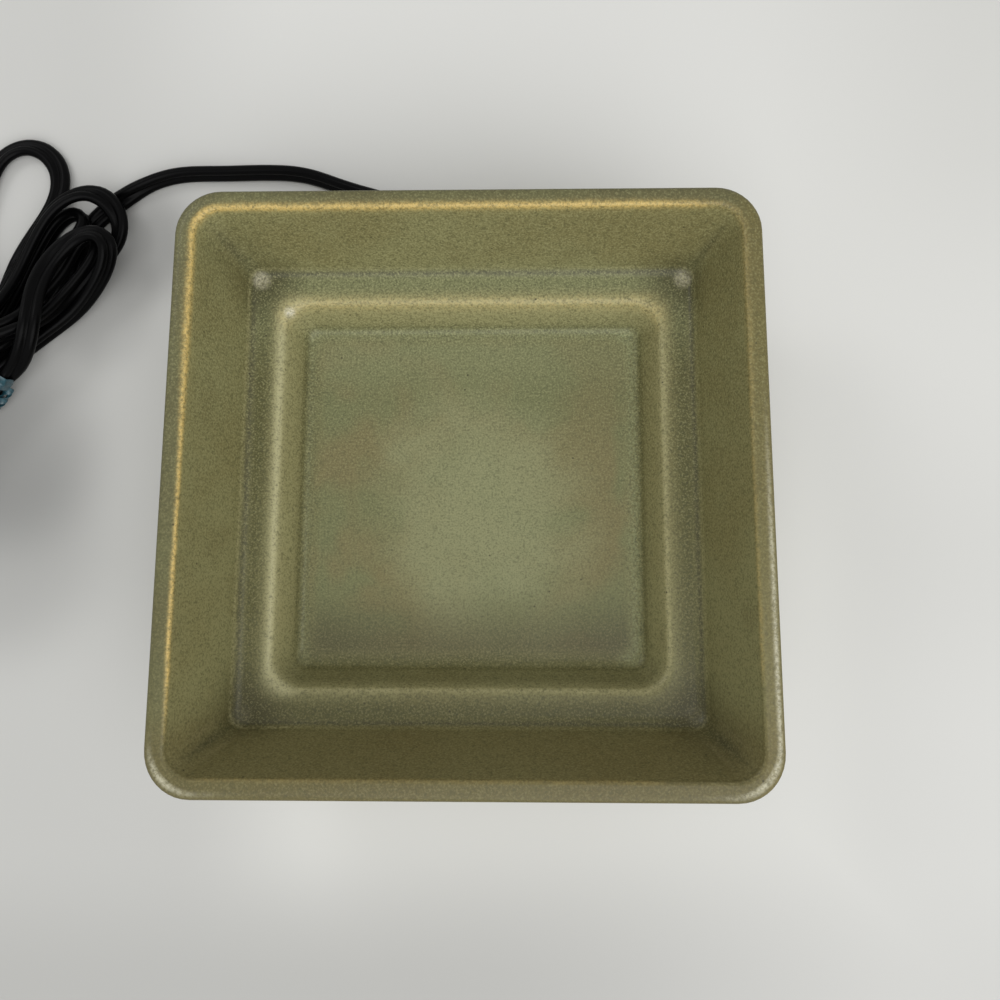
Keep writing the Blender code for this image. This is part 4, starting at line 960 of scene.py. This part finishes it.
# Colours of the lines on edges, each partly a break in the glaze and partly painted highlight.
GOLD = rgb(214, 184, 110)
WARM = rgb(184, 170, 112)
DULL = rgb(172, 166, 122)
dish = throw_vessel("glazed_dish", DISH_CORNERS, DISH_LIP)
dish_glaze = glaze(
    "dish_glaze",
    edges=(
        (0.2, 1, 1, GOLD), (0.9, 2.2, 0.14, WARM),
        (WELL_EDGE, 1.5, 0.66, DULL), (WELL_EDGE + 1.5, 2.6, 0.3, DULL),
    ),
    channels=((LEDGE, 4.2, 1), (WELL_CHANNEL, 3.5, 0.9)),
    creases=((LEDGE_FOOT, 0.75), (WELL_FOOT, 0.24)),
    floor_from=WELL_FOOT + 1, bare_under=25.5, rim_to=-1,
)
dress(dish, dish_glaze, "dish")
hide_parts("dish")

base = throw_vessel("glazed_base", BASE_CORNERS, BASE_LIP)


def cut(piece, tool):
    """Cuts a tool out of a piece and removes the tool."""
    bpy.context.view_layer.objects.active = piece
    modifier = piece.modifiers.new("cut", "BOOLEAN")
    modifier.operation = "DIFFERENCE"
    modifier.solver = "EXACT"
    modifier.object = tool
    bpy.ops.object.modifier_apply(modifier="cut")
    bpy.data.objects.remove(tool, do_unlink=True)


deck_hole = start(
    "deck_hole", "cylinder", vertices=96, radius=0.036, depth=0.03, location=(0, 0, 0.016),
)
cut(base, done(deck_hole))
outlet = start(
    "outlet", "cylinder", vertices=40, radius=0.0037, depth=0.02,
    location=(-0.02, 0.0575, 0.0091), rotation=(math.pi / 2, 0, 0),
)
cut(base, done(outlet))
base_glaze = glaze(
    "base_glaze", edges=((0, 1.3, 0.7, WARM), (-16, 2.5, 0.3, WARM)),
    channels=((-15.5, 3, 0.7),), bare_under=5.2,
)
dress(base, base_glaze, "base")
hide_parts("base_housing")

# Finishes of the CAD nodes


def shaded(tone, share):
    """A tone with that share of its light."""
    return tuple(v * share for v in tone)


def waves(value, length):
    """A sine along a value, one wave in so many millimetres."""
    return (value * (2 * math.pi / length)).math("SINE")


def machined_aluminium():
    """Turned on a lathe: fine rings that wander, with stains and scratches."""
    f = Finish("machined_aluminium", metallic=1.0)
    rings = (f.radius() * 9 + f.noise(6, 2) * 2).math("SINE")
    stain = f.noise(22, 3, 0.6)
    scratch = f.noise(1.2, 4, 0.7)
    return f.paint(
        base_color=f.mix(stain.rise(0.4, 0.7), rgb(212, 212, 210), rgb(188, 187, 182)),
        roughness=0.3 + 0.1 * rings + 0.12 * scratch,
        normal=f.bump(rings * 0.5 + scratch * 0.6, 0.02),
    )


def plated_steel(name, tone, thread=0.0):
    """Bright metal with a dull bloom, and a thread of that pitch along its height if given."""
    f = Finish(name, metallic=1.0)
    bloom = f.noise(2.4, 4, 0.65)
    grain = f.noise(0.35, 3, 0.6)
    height = grain * 0.5 + bloom * 0.4
    if thread:
        height = height + waves(f.z, thread) * 4
    return f.paint(
        base_color=f.mix(bloom.rise(0.35, 0.7), tone, shaded(tone, 0.72)),
        roughness=0.3 + 0.2 * bloom, normal=f.bump(height, 0.03),
    )


def pressed_fibre(name, light, dark, sheet):
    """Board pressed from fibres, in layers as thick as the sheet."""
    f = Finish(name, specular_ior_level=0.2)
    strands = f.noise(0.8, 5, 0.7, warp=1.5)
    mottle = f.noise(6, 3, 0.6)
    layers = (f.z * (2 * math.pi / sheet) + mottle * 2).math("SINE")
    colour = f.mix(strands.rise(0.35, 0.65), dark, light)
    return f.paint(
        base_color=f.mix(mottle.rise(0.5, 0.8) * 0.35, colour, shaded(dark, 0.7)),
        roughness=0.82 + 0.15 * strands, normal=f.bump(strands + layers * 0.15, 0.12),
    )


def mica_sheet():
    """Flaky mica with the heating wire's turns showing through it."""
    f = Finish("mica_sheet", coat_weight=0.25, coat_roughness=0.25)
    cloud = f.noise(5, 4, 0.65)
    wire = waves(f.radius(), 2.6).rise(0.86, 0.98)
    colour = f.coats(
        f.mix(cloud.rise(0.3, 0.7), rgb(176, 146, 100), rgb(206, 184, 142)),
        (0.22, f.cells(3.2, "Color")),
        (wire * 0.75, rgb(110, 104, 96)),
    )
    height = cloud + wire * 2
    return f.paint(base_color=colour, roughness=0.35 + 0.3 * cloud, normal=f.bump(height, 0.05))


def moulded_plastic(name, tone, spark=0.35, rough=0.42):
    """Plastic with its mould's fine texture, and paler where it is worn."""
    f = Finish(name, specular_ior_level=0.25)
    texture = f.noise(spark, 3, 0.6)
    wear = f.noise(7, 4, 0.7)
    worn = tuple(min(1, v * 1.7 + 0.002) for v in tone)
    return f.paint(
        base_color=f.mix(wear.rise(0.45, 0.8), tone, worn),
        roughness=rough + 0.12 * wear + 0.1 * texture, normal=f.bump(texture, 0.02),
    )


def powder_coat():
    """Black powder coat with orange peel and dust."""
    f = Finish("powder_coat")
    peel = f.noise(0.7, 2, 0.5)
    dust = f.noise(9, 5, 0.7)
    colour = f.mix(dust.rise(0.5, 0.85) * 0.6, rgb(40, 40, 41), rgb(66, 64, 60))
    return f.paint(base_color=colour, roughness=0.5 + 0.2 * dust, normal=f.bump(peel, 0.06))


def foot_rubber():
    """Black rubber, scuffed where it stands on the table."""
    f = Finish("foot_rubber", specular_ior_level=0.3)
    grain = f.noise(0.6, 3, 0.6)
    dust = f.noise(2.5, 4, 0.7)
    scuffed = f.z.rise(0.7, 0.0) * dust.rise(0.35, 0.7)
    colour = f.mix(scuffed * 0.5, rgb(30, 30, 30), rgb(76, 74, 70))
    return f.paint(base_color=colour, roughness=0.72 + 0.2 * dust, normal=f.bump(grain, 0.05))


def braided_sleeve(name, tone, thread):
    """Woven glass sleeving, with two sets of threads that cross at a slant."""
    f = Finish(name, specular_ior_level=0.25)
    crossings = waves(f.x + f.y + f.z, 0.9) * waves(f.x + f.y - f.z, 0.9)
    weave = crossings.rise(-0.6, 0.6)
    lint = f.noise(0.5, 3, 0.7)
    colour = f.mix(weave, shaded(tone, 0.72), tone)
    return f.paint(
        base_color=f.mix(crossings.rise(0.8, 0.95) * 0.7, colour, thread),
        roughness=0.75 + 0.2 * lint, normal=f.bump(weave + lint * 0.4, 0.1),
    )


def fuse_case():
    """Off-white ceramic with one red band round it."""
    f = Finish("fuse_case", coat_weight=0.2)
    grain = f.noise(0.8, 4, 0.6)
    colour = f.mix(grain.rise(0.4, 0.7), rgb(226, 222, 208), rgb(206, 200, 184))
    colour = f.mix(f.x.near(24, 0.5) * 0.8, colour, rgb(150, 60, 44))
    return f.paint(base_color=colour, roughness=0.35 + 0.2 * grain, normal=f.bump(grain, 0.03))


for finish, *alike in (
    (machined_aluminium(), "hot_plate"),
    (pressed_fibre("gasket_fibre", rgb(208, 202, 184), rgb(170, 162, 142), 0.7), "plate_gasket"),
    (
        pressed_fibre("insulation_board", rgb(228, 224, 212), rgb(196, 190, 176), 0.9),
        "insulation_disc",
    ),
    (mica_sheet(), "heating_element"),
    (plated_steel("stud_steel", rgb(196, 198, 200), thread=0.7), "clamp_stud"),
    (plated_steel("bracket_steel", rgb(204, 198, 176)), "clamp_bracket"),
    (
        plated_steel("plated_steel", rgb(198, 200, 202)),
        "bracket_washer", "bracket_nut", "cover_nut", "fuse_clip",
        "switch_screw_far", "switch_screw_near", "switch_axle",
    ),
    (fuse_case(), "thermal_fuse"),
    (moulded_plastic("crimp_nylon", rgb(206, 190, 152), rough=0.35), "crimp_live", "crimp_neutral"),
    (moulded_plastic("lead_black", rgb(32, 32, 33)), "mains_lead_live", "mains_lead_neutral"),
    (braided_sleeve("fuse_sleeve", rgb(218, 216, 206), rgb(168, 60, 50)), "fuse_lead"),
    (
        braided_sleeve("heater_sleeve", rgb(224, 222, 214), rgb(196, 194, 184)),
        "heater_lead_live", "heater_lead_neutral",
    ),
    (powder_coat(), "bottom_cover"),
    (foot_rubber(), "foot_back_left", "foot_back_right", "foot_front_left", "foot_front_right"),
    (moulded_plastic("bushing_vinyl", rgb(12, 12, 12), spark=0.5, rough=0.44), "cord_bushing"),
    (moulded_plastic("switch_plastic", rgb(14, 14, 15)), "switch_base", "switch_cover"),
    (moulded_plastic("wheel_plastic", rgb(34, 34, 36), rough=0.34), "switch_thumbwheel"),
    (plated_steel("rolled_brass", rgb(214, 182, 108)), "switch_contact_near", "switch_contact_far"),
    (
        moulded_plastic("core_black", rgb(28, 28, 28)),
        "switch_live_core_near", "switch_live_core_far", "switch_neutral_core",
    ),
    (moulded_plastic("plug_vinyl", rgb(12, 12, 13), spark=0.5, rough=0.38), "plug_body"),
    (plated_steel("blade_brass", rgb(204, 190, 148)), "plug_blade_live", "plug_blade_neutral"),
):
    for node in alike:
        dress(node, finish)

# The stage

# Painted shadows on the table round the hank: the middle of each, its radius and its share.
HANK_PAINTED_SHADOWS = (
    (-108, 84, 15, 0.5), (-120, 60, 14, 0.25), (-146, 14, 24, 0.5), (-148, -14, 28, 0.34),
)


def white_table():
    """A matt white sheet, with painted shadows round the hank and painted light and shade across
    it.
    """
    f = Finish("table_white", roughness=0.7)
    # Painted light: lighter beside the dish, on its right and in front of it.
    right_of_dish = f.x.rise(40, 90) * f.y.rise(50, -30)
    before_dish = f.y.rise(-60, -90) * f.x.rise(-90, -40)
    beside = right_of_dish.most(before_dish) * abs(f.x).most(abs(f.y)).near(90, 26)
    # Painted shade: darker towards the near edge.
    fore = f.y.rise(-100, -140) * (0.16 + 0.3 * f.x.rise(70, 0))
    far = f.radius()
    # Painted shadows round the hank.
    shades = [
        (f.round_spot(f.x - x, f.y - y, size, 1.4) * share, rgb(110, 110, 109))
        for x, y, size, share in HANK_PAINTED_SHADOWS
    ]
    # Painted light and shade: lighter at the back, at the front right and far out, where the lamps
    # give less; darker at the left and at the back right.
    colour = f.coats(
        f.mix(f.y.rise(-170, 130), rgb(196, 196, 193), rgb(229, 229, 226)),
        (f.x.rise(-60, -140) * 0.6, rgb(197, 197, 194)),
        (f.x.rise(60, 170) * f.y.rise(20, 120) * 0.6, rgb(210, 210, 206)),
        (beside * 0.7, rgb(234, 234, 230)),
        (f.x.rise(40, 130) * f.y.rise(0, -70) * 0.5, rgb(228, 228, 225)),
        (fore, rgb(170, 170, 167)),
        *shades,
        (far.rise(215, 380), f.mix(far.rise(350, 1200), rgb(214, 214, 211), rgb(242, 242, 240))),
        (f.noise(300, 2).rise(0.4, 0.9) * 0.2, rgb(190, 190, 188)),
    )
    return f.paint(base_color=colour)


def light_world():
    """A dim white surround, stronger where it is seen straight or in a reflection."""
    world = bpy.data.worlds.new("studio")
    bpy.context.scene.world = world
    world.use_nodes = True
    sky = Nodes(world.node_tree)
    camera, glossy, transmission = (
        sky.node("ShaderNodeLightPath", {}, {}, f"Is {kind} Ray")
        for kind in ("Camera", "Glossy", "Transmission")
    )
    seen = camera.most(glossy).most(transmission)
    strength = sky.node("ShaderNodeMapRange", {}, {"Value": seen, "To Min": 0.44, "To Max": 0.75})
    background = sky.tree.nodes["Background"]
    sky.set(background.inputs["Strength"], strength)
    sky.set(background.inputs["Color"], (1, 1, 0.985))


def hang_lamp(name, place, size, energy):
    """A square lamp that shines at the part."""
    light = bpy.data.lights.new(name, "AREA")
    light.size = size
    light.energy = energy
    lamp = bpy.data.objects.new(name, light)
    lamp.location = place
    lamp.rotation_euler = (-Vector(place)).to_track_quat("-Z", "Y").to_euler()
    bpy.context.scene.collection.objects.link(lamp)


def set_stage():
    bpy.ops.mesh.primitive_plane_add(size=12)
    floor = bpy.context.object
    floor.name = "table_top"
    dress(floor, white_table())
    light_world()
    hang_lamp("softbox", (0.32, -0.62, 1.0), size=1.3, energy=12.0)
    hang_lamp("side_lamp", (-0.55, 0.42, 0.75), size=0.3, energy=0.9)


set_stage()
bpy.context.scene.view_settings.view_transform = "Standard"
